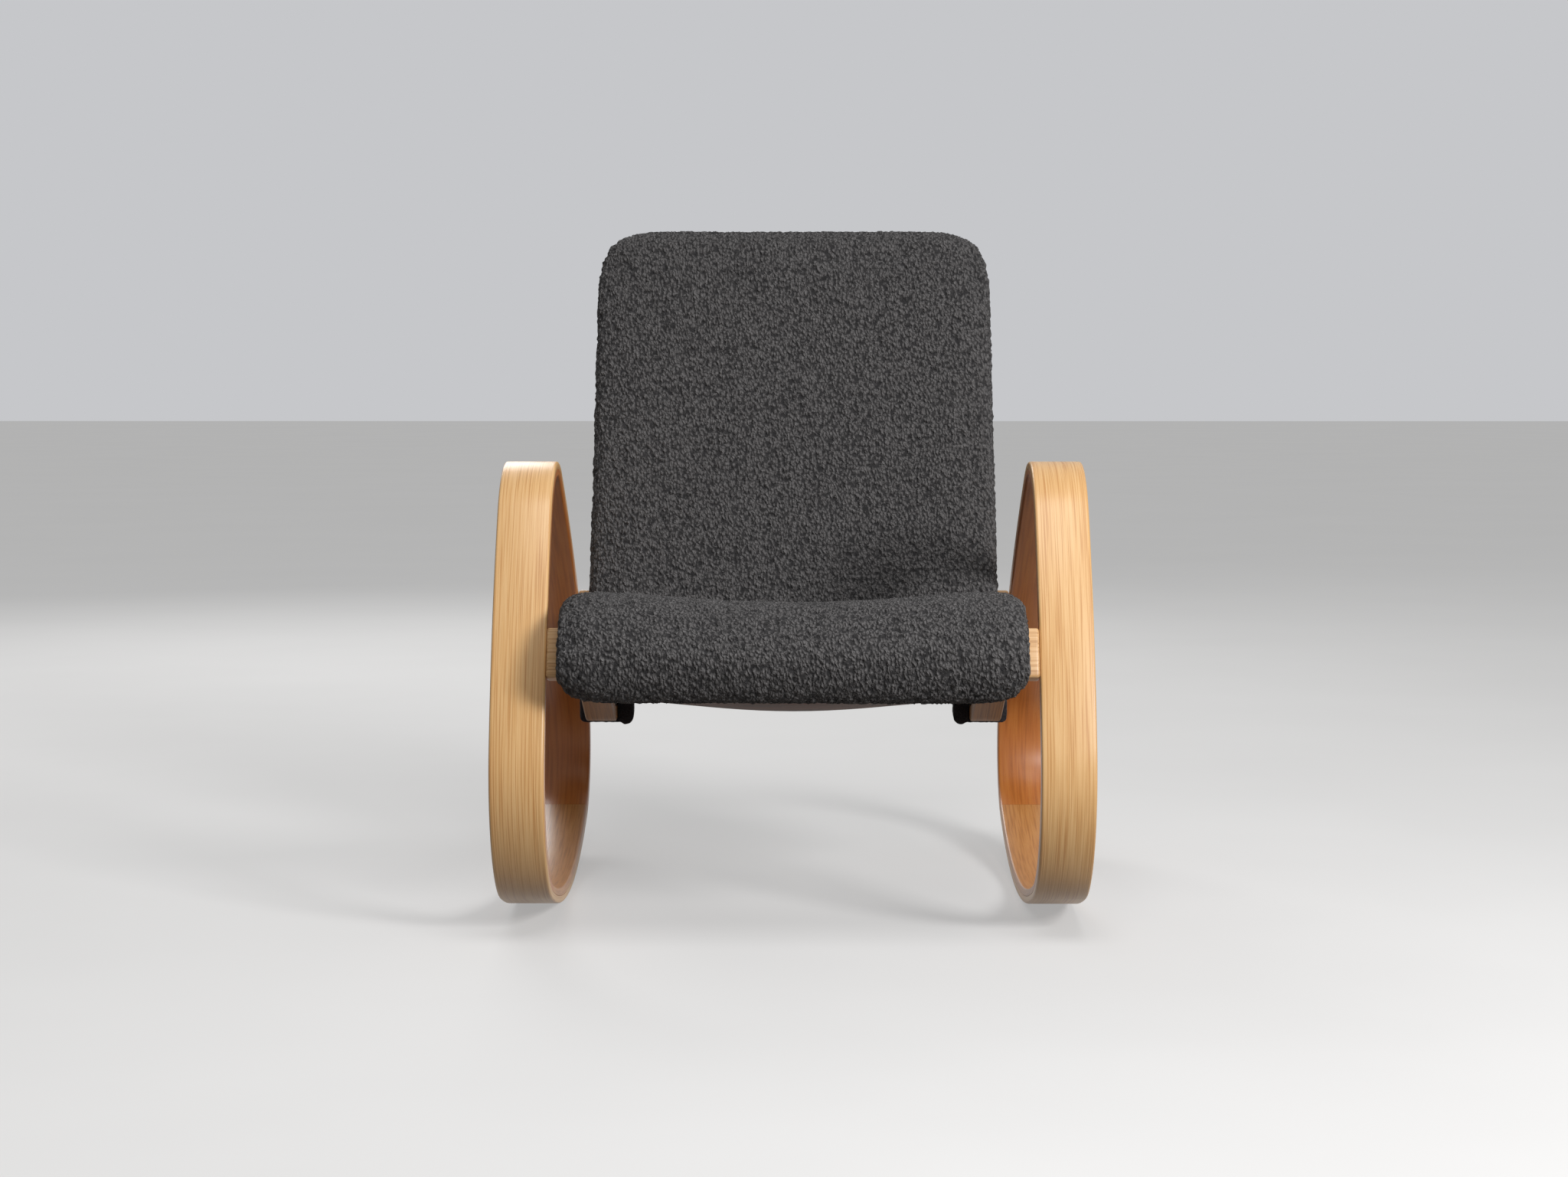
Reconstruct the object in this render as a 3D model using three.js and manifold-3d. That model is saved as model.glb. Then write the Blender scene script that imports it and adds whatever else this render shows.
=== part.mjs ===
// Bentwood rocking chair: two closed laminated loops are both arm rests and rockers.
// Two cross-rails join the loops, and an L-shaped slatted seat frame with a fitted cover sits on the rails.
// Millimetres, +Z up. The sitter faces -Y, so +X is the sitter's left.
// Left and right in the names are as seen from the front, so left is on the -X side.
import * as THREE from 'three';
import { mergeVertices } from 'three/addons/utils/BufferGeometryUtils.js';
import Module from 'manifold-3d';

const wasm = await Module();
wasm.setup();

// Whole chair and running clearances
const CHAIR_WIDTH = 690;
const SEAT_GAP = 0.3;
const CUT_OVERRUN = 20;
const CLOSE = 1e-6;

// Bent loops: inner outline as corner arcs joined by three long bows, seen from the side
const BAND_WIDTH = 63;
const OUTER_PLY = 9;
const INNER_PLY = 9;
const BAND_EASE = 3;
const FOOT_DEPTH = 160;
const FOOT_HEIGHT = 186;
const FOOT_RADIUS = 142;
const ARM_DEPTH = 220;
const ARM_HEIGHT = 426;
const ARM_RADIUS = 100;
const NOSE_DEPTH = 624;
const NOSE_HEIGHT = 142;
const NOSE_RADIUS = 85;
const ROCKER_RADIUS = 860;
const ARM_BOW_RADIUS = 1995;
const FRONT_BOW_RADIUS = 870;
const CONTACT_FLAT = 60;
const SCARF_GAP = 0.4;

// Cross-rails and the dowels in their ends
const RAIL_HEIGHT = 59;
const RAIL_THICKNESS = 20;
const RAIL_CORNER = 4;
const RAIL_END_EASE = 3;
const FRONT_RAIL_HEIGHT = 329;
const DOWEL_DIAMETER = 8;
const DOWEL_LENGTH = 40;
const DOWEL_SPACING = 32;
const DOWEL_HOLE_SPARE = 2;

// Bent seat frame members
const MEMBER_WIDTH = 37;
const MEMBER_THICKNESS = 19;
const MEMBER_EASE = 2;
const MEMBER_INSET = 40;
const MEMBER_SPREAD = CHAIR_WIDTH - 2 * BAND_WIDTH - 2 * MEMBER_INSET;
const FRONT_ROLL_RADIUS = 50;
const FRONT_ROLL_END_DEG = 70;
const SEAT_SLOPE_DEG = 25;
const SEAT_RUN = 290;
const BEND_RADIUS = 100;
const BACK_LEAN_DEG = 26;
const BACK_RUN = 588;
const MEMBER_TOP_GAP = 14;
const FRONT_NOTCH = 9;
const REAR_NOTCH = 6;

// Screws that hold the members to the rails
const FRAME_SCREW_HEAD = 11;
const FRAME_SCREW_HEAD_DEPTH = 3.5;
const FRAME_SCREW_SHANK = 5;
const FRAME_SCREW_LENGTH = 36;
const FRAME_SCREW_SINK = 2.5;

// Dished slats and their screws
const SLAT_WIDTH = 52;
const SLAT_THICKNESS = 8;
const SLAT_END_INSET = 4;
const SLAT_LENGTH = MEMBER_SPREAD + MEMBER_WIDTH - 2 * SLAT_END_INSET;
const SLAT_SAG = 14;
const SEAT_SLAT_MARGIN = 30;
const BACK_SLAT_MARGIN = 42;
const SLAT_SCREW_HEAD = 8;
const SLAT_SCREW_HEAD_DEPTH = 2.4;
const SLAT_SCREW_SHANK = 3.6;
const SLAT_SCREW_LENGTH = 23;
const SLAT_SCREW_SINK = 0.4;

// Fitted cover: one pad on the seat, one on the back
const PAD_SIDE_CLEARANCE = 18;
const PAD_WIDTH = CHAIR_WIDTH - 2 * BAND_WIDTH - 2 * PAD_SIDE_CLEARANCE;
const SEAT_PAD_THICKNESS = 33;
const BACK_PAD_THICKNESS = 25;
const PAD_FLAP_THICKNESS = 16;
const PAD_FLAP_LENGTH = 45;
const PAD_FLAP_CLEARANCE = 1;
const PAD_TUCK_DEG = 106;
const PAD_TOP_TURN_DEG = 180;
const PAD_DISH = 11;
const PAD_DROOP = 6;
const PAD_DROOP_REACH = 16;
const PAD_TOP_SHOULDER = 45;
const PAD_UNDER_SHOULDER = 18;
const PAD_END_ROUND = 15;
const PAD_BLUNT = 1;
const PAD_PLAN_CORNER = 42;
const PAD_TOP_CORNER = 46;
const PAD_EDGE_SHARES = [0.45, 0.75, 0.92];
const PAD_END_SHARES = [0, 0.2, 0.5];
const PAD_BACK_SHARES = [
  { along: 0.35, dish: 1 },
  { along: 0.7, dish: 0.6 },
  { along: 0.92, dish: 0.15 },
];

// Fabric straps that hold the cover down in the bend
const STRAP_WIDTH = 26;
const STRAP_HEADING_DEG = 12;
const STRAP_SLACK = 0.6;
const STRAP_INNER_BULK = 20;
const STRAP_OUTER_BULK = 10;
const STRAP_BELOW = 4;
const STRAP_DROP = 7;

// Counts
const FOOT_STEPS = 9;
const ROCKER_STEPS = 7;
const NOSE_STEPS = 9;
const ARM_BOW_STEPS = 8;
const ARM_STEPS = 10;
const FRONT_BOW_STEPS = 7;
const BEND_STEP_DEG = 9;
const PAD_STEP_DEG = 18;
const SEAT_SLATS = 4;
const BACK_SLATS = 5;
const SLAT_SPANS = 10;
const STRAP_HANG_STEPS = 5;
const SCREW_SIDES = 8;
const DOWEL_SIDES = 12;
const PLACE_HALVINGS = 50;

// Colours
const ASH = 0xd9ae72;
const BEECH = 0xb9793f;
const RAIL_WOOD = 0xcf9f62;
const FRAME_WOOD = 0x7c4a28;
const DOWEL_WOOD = 0xc9a472;
const STEEL = 0x9a9a98;
const BOUCLE = 0x4a4849;
const STRAP_CLOTH = 0x262528;

const rad = THREE.MathUtils.degToRad;
const leftOf = (heading) => new THREE.Vector2(-Math.sin(heading), Math.cos(heading));
const HALF_TURN = Math.PI;
const QUARTER_TURN = Math.PI / 2;
const UPRIGHT_DEG = 90;
const BAND_THICKNESS = OUTER_PLY + INNER_PLY;
const LOOP_X = CHAIR_WIDTH / 2 - BAND_WIDTH / 2;
const LOOP_INSIDE_X = CHAIR_WIDTH / 2 - BAND_WIDTH;
const MEMBER_X = MEMBER_SPREAD / 2;

const chair = new THREE.Group();
const woods = (color, roughness) => new THREE.MeshStandardMaterial({ color, roughness, metalness: 0 });
const ashFinish = woods(ASH, 0.45);
const beechFinish = woods(BEECH, 0.5);
const railFinish = woods(RAIL_WOOD, 0.5);
const frameFinish = woods(FRAME_WOOD, 0.6);
const dowelFinish = woods(DOWEL_WOOD, 0.7);
const steelFinish = new THREE.MeshStandardMaterial({ color: STEEL, roughness: 0.35, metalness: 1 });
const boucleFinish = new THREE.MeshStandardMaterial({ color: BOUCLE, roughness: 0.95, metalness: 0 });
const strapFinish = new THREE.MeshStandardMaterial({ color: STRAP_CLOTH, roughness: 0.95, metalness: 0 });

// Solids: closed meshes that can be cut and joined
function toSolid(geometry) {
  const bare = geometry.index ? geometry.toNonIndexed() : geometry.clone();
  bare.deleteAttribute('normal');
  bare.deleteAttribute('uv');
  const merged = mergeVertices(bare);
  return new wasm.Manifold(new wasm.Mesh({
    numProp: 3,
    vertProperties: new Float32Array(merged.attributes.position.array),
    triVerts: new Uint32Array(merged.index.array),
  }));
}

function toGeometry(solid) {
  const mesh = solid.getMesh();
  const geometry = new THREE.BufferGeometry();
  const corners = new Float32Array(mesh.vertProperties);
  geometry.setAttribute('position', new THREE.BufferAttribute(corners, mesh.numProp));
  geometry.setIndex(new THREE.BufferAttribute(new Uint32Array(mesh.triVerts), 1));
  geometry.computeVertexNormals();
  return geometry;
}

function addPiece(name, geometry, finish) {
  const piece = new THREE.Mesh(geometry, finish);
  piece.name = name;
  chair.add(piece);
}

function addSolid(name, solid, finish) {
  addPiece(name, toGeometry(solid), finish);
}

// A flat outline swept straight along its own Z, centred, with eased end corners
function sweptOutline(points, holePoints, length, ease) {
  const shape = new THREE.Shape(points);
  if (holePoints) {
    shape.holes.push(new THREE.Path(holePoints));
  }
  const geometry = new THREE.ExtrudeGeometry(shape, {
    depth: length - 2 * ease,
    steps: 1,
    bevelEnabled: ease > 0,
    bevelThickness: ease,
    bevelSize: ease,
    bevelOffset: -ease,
    bevelSegments: 1,
  });
  return geometry.translate(0, 0, ease - length / 2);
}

// Side-view outline (depth, height) swept across the chair, centred on x
function across(points, holePoints, length, ease, x) {
  const turn = new THREE.Matrix4().makeBasis(
    new THREE.Vector3(0, 1, 0),
    new THREE.Vector3(0, 0, 1),
    new THREE.Vector3(1, 0, 0),
  );
  turn.setPosition(x, 0, 0);
  return toSolid(sweptOutline(points, holePoints, length, ease).applyMatrix4(turn));
}

// Cross-section outline (x, normal) swept along the tangent of a side-view station
function alongStation(points, length, ease, station, x) {
  const { point, normal } = station;
  const turn = new THREE.Matrix4().makeBasis(
    new THREE.Vector3(1, 0, 0),
    new THREE.Vector3(0, normal.x, normal.y),
    new THREE.Vector3(0, -normal.y, normal.x),
  );
  turn.setPosition(x, point.x, point.y);
  return toSolid(sweptOutline(points, null, length, ease).applyMatrix4(turn));
}

// A turned piece whose axis runs from its tail to its head along a side-view direction
function turned(profile, sides, x, tail, direction) {
  const up = new THREE.Vector3(0, 1, 0);
  const aim = new THREE.Vector3(0, direction.x, direction.y);
  const tilt = new THREE.Quaternion().setFromUnitVectors(up, aim);
  const turn = new THREE.Matrix4().makeRotationFromQuaternion(tilt);
  turn.setPosition(x, tail.x, tail.y);
  return toSolid(new THREE.LatheGeometry(profile, sides).applyMatrix4(turn));
}

// Loops: the inner outline and every outline parallel to it
const footCentre = new THREE.Vector2(FOOT_DEPTH, FOOT_HEIGHT);
const armCentre = new THREE.Vector2(ARM_DEPTH, ARM_HEIGHT);
const noseCentre = new THREE.Vector2(NOSE_DEPTH, NOSE_HEIGHT);

function bowCentre(startCentre, startRadius, endCentre, endRadius, bowRadius) {
  const span = endCentre.clone().sub(startCentre);
  const reach = span.length();
  const startPull = bowRadius - startRadius;
  const endPull = bowRadius - endRadius;
  const along = (startPull ** 2 - endPull ** 2 + reach ** 2) / (2 * reach);
  const rise = Math.sqrt(startPull ** 2 - along ** 2);
  const forward = span.normalize();
  const inward = new THREE.Vector2(-forward.y, forward.x);
  return startCentre.clone().addScaledVector(forward, along).addScaledVector(inward, rise);
}

const rockerCentre = bowCentre(footCentre, FOOT_RADIUS, noseCentre, NOSE_RADIUS, ROCKER_RADIUS);
const armBowCentre = bowCentre(noseCentre, NOSE_RADIUS, armCentre, ARM_RADIUS, ARM_BOW_RADIUS);
const frontBowCentre = bowCentre(armCentre, ARM_RADIUS, footCentre, FOOT_RADIUS, FRONT_BOW_RADIUS);
const bearing = (from, to) => to.clone().sub(from).angle();
const footToRocker = bearing(rockerCentre, footCentre);
const rockerToNose = bearing(rockerCentre, noseCentre);
const noseToArm = bearing(armBowCentre, noseCentre);
const armToCorner = bearing(armBowCentre, armCentre);
const cornerToFront = bearing(frontBowCentre, armCentre);
const frontToFoot = bearing(frontBowCentre, footCentre);
const straightDown = HALF_TURN + QUARTER_TURN;
const flatHalfAngle = Math.asin(CONTACT_FLAT / 2 / (ROCKER_RADIUS + BAND_THICKNESS));

function arcPoints(centre, radius, from, to, steps) {
  const end = to < from ? to + 2 * HALF_TURN : to;
  return Array.from({ length: steps }, (_, step) => {
    const angle = from + ((end - from) * step) / steps;
    return new THREE.Vector2(centre.x + radius * Math.cos(angle), centre.y + radius * Math.sin(angle));
  });
}

function rockerPoints(offset, from, to) {
  const radius = ROCKER_RADIUS + offset;
  return [
    ...arcPoints(rockerCentre, radius, from, straightDown - flatHalfAngle, ROCKER_STEPS),
    ...arcPoints(rockerCentre, radius, straightDown - flatHalfAngle, straightDown + flatHalfAngle, 1),
    ...arcPoints(rockerCentre, radius, straightDown + flatHalfAngle, to, ROCKER_STEPS),
  ];
}

function loopOutline(offset) {
  return [
    ...rockerPoints(offset, footToRocker, rockerToNose),
    ...arcPoints(noseCentre, NOSE_RADIUS + offset, rockerToNose, noseToArm, NOSE_STEPS),
    ...arcPoints(armBowCentre, ARM_BOW_RADIUS + offset, noseToArm, armToCorner, ARM_BOW_STEPS),
    ...arcPoints(armCentre, ARM_RADIUS + offset, armToCorner, cornerToFront, ARM_STEPS),
    ...arcPoints(frontBowCentre, FRONT_BOW_RADIUS + offset, cornerToFront, frontToFoot, FRONT_BOW_STEPS),
    ...arcPoints(footCentre, FOOT_RADIUS + offset, frontToFoot, footToRocker, FOOT_STEPS),
  ];
}

// The stretch of inner ply along the rocker, cut off square where it meets the ply of the nose and the foot
function rockerStretch(spare) {
  const spareAngle = spare / ROCKER_RADIUS;
  const from = footToRocker - spareAngle;
  const to = rockerToNose + spareAngle;
  const closed = (offset) => {
    const end = new THREE.Vector2(Math.cos(to), Math.sin(to)).multiplyScalar(ROCKER_RADIUS + offset);
    return [...rockerPoints(offset, from, to), end.add(rockerCentre)];
  };
  return [...closed(BAND_THICKNESS), ...closed(-BAND_THICKNESS).reverse()];
}

// Cross-rails lie in the band of the loops, so their places are points on its centre line
const bandMiddle = BAND_THICKNESS / 2;
const onBow = (centre, bowRadius, angle) => {
  const outward = new THREE.Vector2(Math.cos(angle), Math.sin(angle));
  const point = centre.clone().addScaledVector(outward, bowRadius + bandMiddle);
  return { point, outward, along: new THREE.Vector2(outward.y, -outward.x) };
};
const frontRise = (FRONT_RAIL_HEIGHT - frontBowCentre.y) / (FRONT_BOW_RADIUS + bandMiddle);
const frontPlace = onBow(frontBowCentre, FRONT_BOW_RADIUS, HALF_TURN - Math.asin(frontRise));

// Seat frame member: a centre line of arcs and straights, walked from the front end to the top of the back.
// The wood stops a little short of the line's end, where the pad folds over
function walk(start, headingDeg, moves) {
  const stations = [];
  let point = start.clone();
  let heading = rad(headingDeg);
  let travelled = 0;
  const mark = () => {
    stations.push({ point: point.clone(), heading, normal: leftOf(heading), travelled });
  };
  mark();
  for (const { length = 0, radius = 0, turnDeg = 0, steps = 1 } of moves) {
    for (let step = 0; step < steps; step += 1) {
      const turn = rad(turnDeg) / steps;
      const chord = turnDeg ? 2 * radius * Math.sin(Math.abs(turn) / 2) : length / steps;
      const aim = heading + turn / 2;
      point = point.clone().add(new THREE.Vector2(Math.cos(aim), Math.sin(aim)).multiplyScalar(chord));
      heading += turn;
      travelled += chord;
      mark();
    }
  }
  return stations;
}

const stepsFor = (turnDeg) => Math.max(1, Math.round(Math.abs(turnDeg) / BEND_STEP_DEG));
const arcMove = (radius, turnDeg) => ({ radius, turnDeg, steps: stepsFor(turnDeg) });
const railTop = frontPlace.point.clone().addScaledVector(frontPlace.along, RAIL_HEIGHT / 2);
const crest = new THREE.Vector2(railTop.x, railTop.y - FRONT_NOTCH + MEMBER_THICKNESS / 2);
const rollCentre = new THREE.Vector2(crest.x, crest.y - FRONT_ROLL_RADIUS);
const rollStart = rad(FRONT_ROLL_END_DEG) + QUARTER_TURN;
const memberStart = rollCentre.clone().add(
  new THREE.Vector2(Math.cos(rollStart), Math.sin(rollStart)).multiplyScalar(FRONT_ROLL_RADIUS),
);
const rollTurnDeg = -(FRONT_ROLL_END_DEG + SEAT_SLOPE_DEG);
const backHeadingDeg = UPRIGHT_DEG - BACK_LEAN_DEG;
const bendTurnDeg = backHeadingDeg + SEAT_SLOPE_DEG;
const memberLine = walk(memberStart, FRONT_ROLL_END_DEG, [
  arcMove(FRONT_ROLL_RADIUS, rollTurnDeg),
  { length: SEAT_RUN },
  arcMove(BEND_RADIUS, bendTurnDeg),
  { length: BACK_RUN },
]);

const memberTop = memberLine[memberLine.length - 1];
const towardsTop = new THREE.Vector2(Math.cos(memberTop.heading), Math.sin(memberTop.heading));
const woodEnd = { ...memberTop, point: memberTop.point.clone().addScaledVector(towardsTop, -MEMBER_TOP_GAP) };
const woodLine = [...memberLine.slice(0, -1), woodEnd];

function memberOutline(spare) {
  const reach = MEMBER_THICKNESS / 2 + spare;
  const side = (distance) => woodLine.map(({ point, normal }) => (
    point.clone().addScaledVector(normal, distance)
  ));
  return [...side(-reach), ...side(reach).reverse()];
}

function memberSolid(x, spare, ease) {
  return across(memberOutline(spare), null, MEMBER_WIDTH + 2 * spare, ease, x);
}

// The rear rail slides down the arms until its front edge is housed in the back of the members
const behindMember = (point) => {
  const forward = point.clone().sub(memberTop.point).dot(memberTop.normal);
  return -forward - MEMBER_THICKNESS / 2;
};
function rearRailPlace() {
  let low = noseToArm;
  let high = armToCorner;
  for (let halving = 0; halving < PLACE_HALVINGS; halving += 1) {
    const place = onBow(armBowCentre, ARM_BOW_RADIUS, (low + high) / 2);
    const edge = place.point.clone().addScaledVector(place.along, -RAIL_HEIGHT / 2);
    if (behindMember(edge) > -REAR_NOTCH) {
      low = (low + high) / 2;
    } else {
      high = (low + high) / 2;
    }
  }
  return onBow(armBowCentre, ARM_BOW_RADIUS, (low + high) / 2);
}
const rearPlace = rearRailPlace();

// Dowels: two in each end of each rail, half in the rail and half in the edge of the loop
function dowelSolid(place, side, level, spare) {
  const centre = place.point.clone().addScaledVector(place.along, (level * DOWEL_SPACING) / 2);
  const length = DOWEL_LENGTH + (spare > 0 ? DOWEL_HOLE_SPARE : 0);
  const radius = DOWEL_DIAMETER / 2 + spare;
  const geometry = new THREE.CylinderGeometry(radius, radius, length, DOWEL_SIDES);
  geometry.rotateZ(QUARTER_TURN).translate(side * LOOP_INSIDE_X, centre.x, centre.y);
  return toSolid(geometry);
}

const railPlaces = { front: frontPlace, rear: rearPlace };
const sides = { left: -1, right: 1 };
const levels = { upper: 1, lower: -1 };

function withDowelHoles(solid, places, sideList) {
  return places.reduce((result, place) => sideList.reduce((part, side) => (
    Object.values(levels).reduce((cut, level) => cut.subtract(dowelSolid(place, side, level, SEAT_GAP)), part)
  ), result), solid);
}

// Screws: a countersunk head on a plain shank, used for the piece and, grown by a clearance, for its hole
function screwSolid(sizes, x, head, direction, spare) {
  const shank = sizes.shank / 2 + spare;
  const rim = sizes.head / 2 + spare;
  const top = spare > 0 ? sizes.length + sizes.sink + CUT_OVERRUN : sizes.length;
  const mouth = spare > 0 ? [new THREE.Vector2(rim, top)] : [];
  const profile = [
    new THREE.Vector2(0, -spare),
    new THREE.Vector2(shank, -spare),
    new THREE.Vector2(shank, sizes.length - sizes.headDepth - spare),
    new THREE.Vector2(rim, sizes.length - spare),
    ...mouth,
    new THREE.Vector2(0, top),
  ];
  const tail = head.clone().addScaledVector(direction, -sizes.length);
  return turned(profile, SCREW_SIDES, x, tail, direction);
}

const frameScrew = {
  head: FRAME_SCREW_HEAD,
  headDepth: FRAME_SCREW_HEAD_DEPTH,
  shank: FRAME_SCREW_SHANK,
  length: FRAME_SCREW_LENGTH,
  sink: FRAME_SCREW_SINK,
};
const slatScrew = {
  head: SLAT_SCREW_HEAD,
  headDepth: SLAT_SCREW_HEAD_DEPTH,
  shank: SLAT_SCREW_SHANK,
  length: SLAT_SCREW_LENGTH,
  sink: SLAT_SCREW_SINK,
};
const screwRise = MEMBER_THICKNESS / 2 - FRAME_SCREW_SINK;
const frontScrewHead = crest.clone().add(new THREE.Vector2(0, screwRise));
const rearEdge = rearPlace.point.clone().addScaledVector(rearPlace.along, -RAIL_HEIGHT / 2);
const rearScrewHead = rearEdge.clone().addScaledVector(
  memberTop.normal,
  MEMBER_THICKNESS + behindMember(rearEdge) - FRAME_SCREW_SINK,
);
const frameScrewPlaces = {
  front: { head: frontScrewHead, direction: frontPlace.along },
  rear: { head: rearScrewHead, direction: memberTop.normal },
};

// Slats lie across the members, flat where they rest and dished between them
const spanX = MEMBER_X - MEMBER_WIDTH / 2;
const spanStations = Array.from({ length: SLAT_SPANS + 1 }, (_, k) => (
  -spanX + (2 * spanX * k) / SLAT_SPANS
));
const slatDip = (x) => (Math.abs(x) < spanX ? -SLAT_SAG * (1 - (x / spanX) ** 2) ** 2 : 0);
const slatBase = MEMBER_THICKNESS / 2 + SEAT_GAP;

function slatOutline() {
  const xs = [-SLAT_LENGTH / 2, ...spanStations, SLAT_LENGTH / 2];
  const row = (height) => xs.map((x) => new THREE.Vector2(x, height + slatDip(x)));
  return [...row(slatBase), ...row(slatBase + SLAT_THICKNESS).reverse()];
}

function stationsOnRun(runStart, runEnd, margin, count) {
  const pitch = (runEnd.travelled - runStart.travelled - 2 * margin) / (count - 1);
  const forward = runEnd.point.clone().sub(runStart.point).normalize();
  return Array.from({ length: count }, (_, k) => ({
    point: runStart.point.clone().addScaledVector(forward, margin + k * pitch),
    normal: runEnd.normal,
  }));
}

const rollEndIndex = stepsFor(rollTurnDeg);
const bendEndIndex = rollEndIndex + 1 + stepsFor(bendTurnDeg);
const seatSlatPlaces = stationsOnRun(
  memberLine[rollEndIndex], memberLine[rollEndIndex + 1], SEAT_SLAT_MARGIN, SEAT_SLATS,
);
const backSlatPlaces = stationsOnRun(
  memberLine[bendEndIndex], memberLine[bendEndIndex + 1], BACK_SLAT_MARGIN, BACK_SLATS,
);
const slatPlaces = [...seatSlatPlaces, ...backSlatPlaces];

function slatScrews(place, spare) {
  const lift = slatBase + SLAT_THICKNESS - SLAT_SCREW_SINK;
  const head = place.point.clone().addScaledVector(place.normal, lift);
  return Object.values(sides).map((side) => (
    screwSolid(slatScrew, side * MEMBER_X, head, place.normal, spare)
  ));
}

// Pads: rings of points across the chair, joined along the path of the seat or the back
const padLift = slatBase + SLAT_THICKNESS + SEAT_GAP;
const seatSize = { offset: padLift + SEAT_PAD_THICKNESS / 2, thickness: SEAT_PAD_THICKNESS };
const backSize = { offset: padLift + BACK_PAD_THICKNESS / 2, thickness: BACK_PAD_THICKNESS };
const flapOffset = MEMBER_THICKNESS / 2 + PAD_FLAP_CLEARANCE + PAD_FLAP_THICKNESS / 2;
const halfPad = PAD_WIDTH / 2;
const roundOff = (distance, reach) => {
  const short = 1 - Math.min(Math.max(distance, 0), reach) / reach;
  return Math.sqrt(1 - short ** 2);
};
const edgeXs = PAD_EDGE_SHARES.map((share) => spanX + (halfPad - spanX) * share);
const rowXs = [...edgeXs.map((x) => -x).reverse(), ...spanStations, ...edgeXs];

function padRing({ point, heading, thickness, dish, halfWidth }) {
  const normal = leftOf(heading);
  const rise = (x, up) => {
    const inset = halfPad - Math.abs(x);
    const body = (thickness / 2) * roundOff(inset, up > 0 ? PAD_TOP_SHOULDER : PAD_UNDER_SHOULDER);
    const hollow = up > 0 ? PAD_DISH * (1 - (x / halfPad) ** 2) : -slatDip(x);
    const droop = PAD_DROOP * Math.max(0, 1 - inset / PAD_DROOP_REACH) ** 2;
    return up * body - dish * (hollow + droop);
  };
  const place = (x, up) => {
    const lift = rise(x, up);
    return new THREE.Vector3((x * halfWidth) / halfPad, point.x + normal.x * lift, point.y + normal.y * lift);
  };
  return [
    place(-halfPad, 1),
    ...rowXs.map((x) => place(x, -1)),
    place(halfPad, 1),
    ...rowXs.map((x) => place(x, 1)).reverse(),
  ];
}

function loft(rings) {
  const count = rings[0].length;
  const middle = (ring) => {
    const sum = ring.reduce((total, vertex) => total.add(vertex), new THREE.Vector3());
    return sum.divideScalar(count);
  };
  const vertices = [...rings.flat(), middle(rings[0]), middle(rings[rings.length - 1])];
  const index = [];
  const lastRing = (rings.length - 1) * count;
  const firstMiddle = rings.length * count;
  for (let k = 0; k < count; k += 1) {
    const next = (k + 1) % count;
    for (let ring = 0; ring < lastRing; ring += count) {
      index.push(ring + k, ring + count + k, ring + next);
      index.push(ring + next, ring + count + k, ring + count + next);
    }
    index.push(firstMiddle, k, next);
    index.push(firstMiddle + 1, lastRing + next, lastRing + k);
  }
  const geometry = new THREE.BufferGeometry();
  const numbers = vertices.flatMap((vertex) => vertex.toArray());
  geometry.setAttribute('position', new THREE.Float32BufferAttribute(numbers, 3));
  geometry.setIndex(index);
  geometry.computeVertexNormals();
  return geometry;
}

// Rings are set at each station and, closer together, where the pad rounds off at its two ends
function padGeometry(path, endInset) {
  const reach = [0];
  path.slice(1).forEach(({ point }, k) => reach.push(reach[k] + point.distanceTo(path[k].point)));
  const total = reach[reach.length - 1];
  const at = (distance) => {
    const after = Math.max(1, reach.findIndex((mark) => mark >= distance - CLOSE));
    const [a, b] = [path[after - 1], path[after]];
    const share = (distance - reach[after - 1]) / (reach[after] - reach[after - 1]);
    const blend = (key) => a[key] + (b[key] - a[key]) * share;
    const mixed = { heading: blend('heading'), thickness: blend('thickness'), dish: blend('dish') };
    return { ...mixed, point: a.point.clone().lerp(b.point, share) };
  };
  const closing = [...PAD_END_SHARES.map((share) => share * PAD_END_ROUND), PAD_END_ROUND];
  const clear = PAD_END_ROUND + CLOSE;
  const between = reach.filter((mark) => mark > clear && mark < total - clear);
  const marks = [...closing, ...between, ...closing.map((mark) => total - mark).reverse()];
  return loft(marks.map((mark) => {
    const station = at(mark);
    const closed = roundOff(Math.min(mark, total - mark) + PAD_BLUNT, PAD_END_ROUND + PAD_BLUNT);
    const inset = endInset(station, mark);
    return padRing({ ...station, thickness: station.thickness * closed, halfWidth: halfPad - inset });
  }));
}

const cornerInset = (distance, radius) => radius * (1 - roundOff(distance, radius));

// A pad wraps a free end of the member: an arc round the end, on an offset that may narrow
function wrapRound(end, fromHeading, toHeading, fromSize, toSize, fromDish, toDish) {
  const steps = Math.ceil(Math.abs(toHeading - fromHeading) / rad(PAD_STEP_DEG));
  return Array.from({ length: steps + 1 }, (_, step) => {
    const share = step / steps;
    const heading = fromHeading + (toHeading - fromHeading) * share;
    const offset = fromSize.offset + (toSize.offset - fromSize.offset) * share;
    const thickness = fromSize.thickness + (toSize.thickness - fromSize.thickness) * share;
    const point = end.clone().addScaledVector(leftOf(heading), offset);
    return { point, heading, thickness, dish: fromDish + (toDish - fromDish) * share };
  });
}

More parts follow.
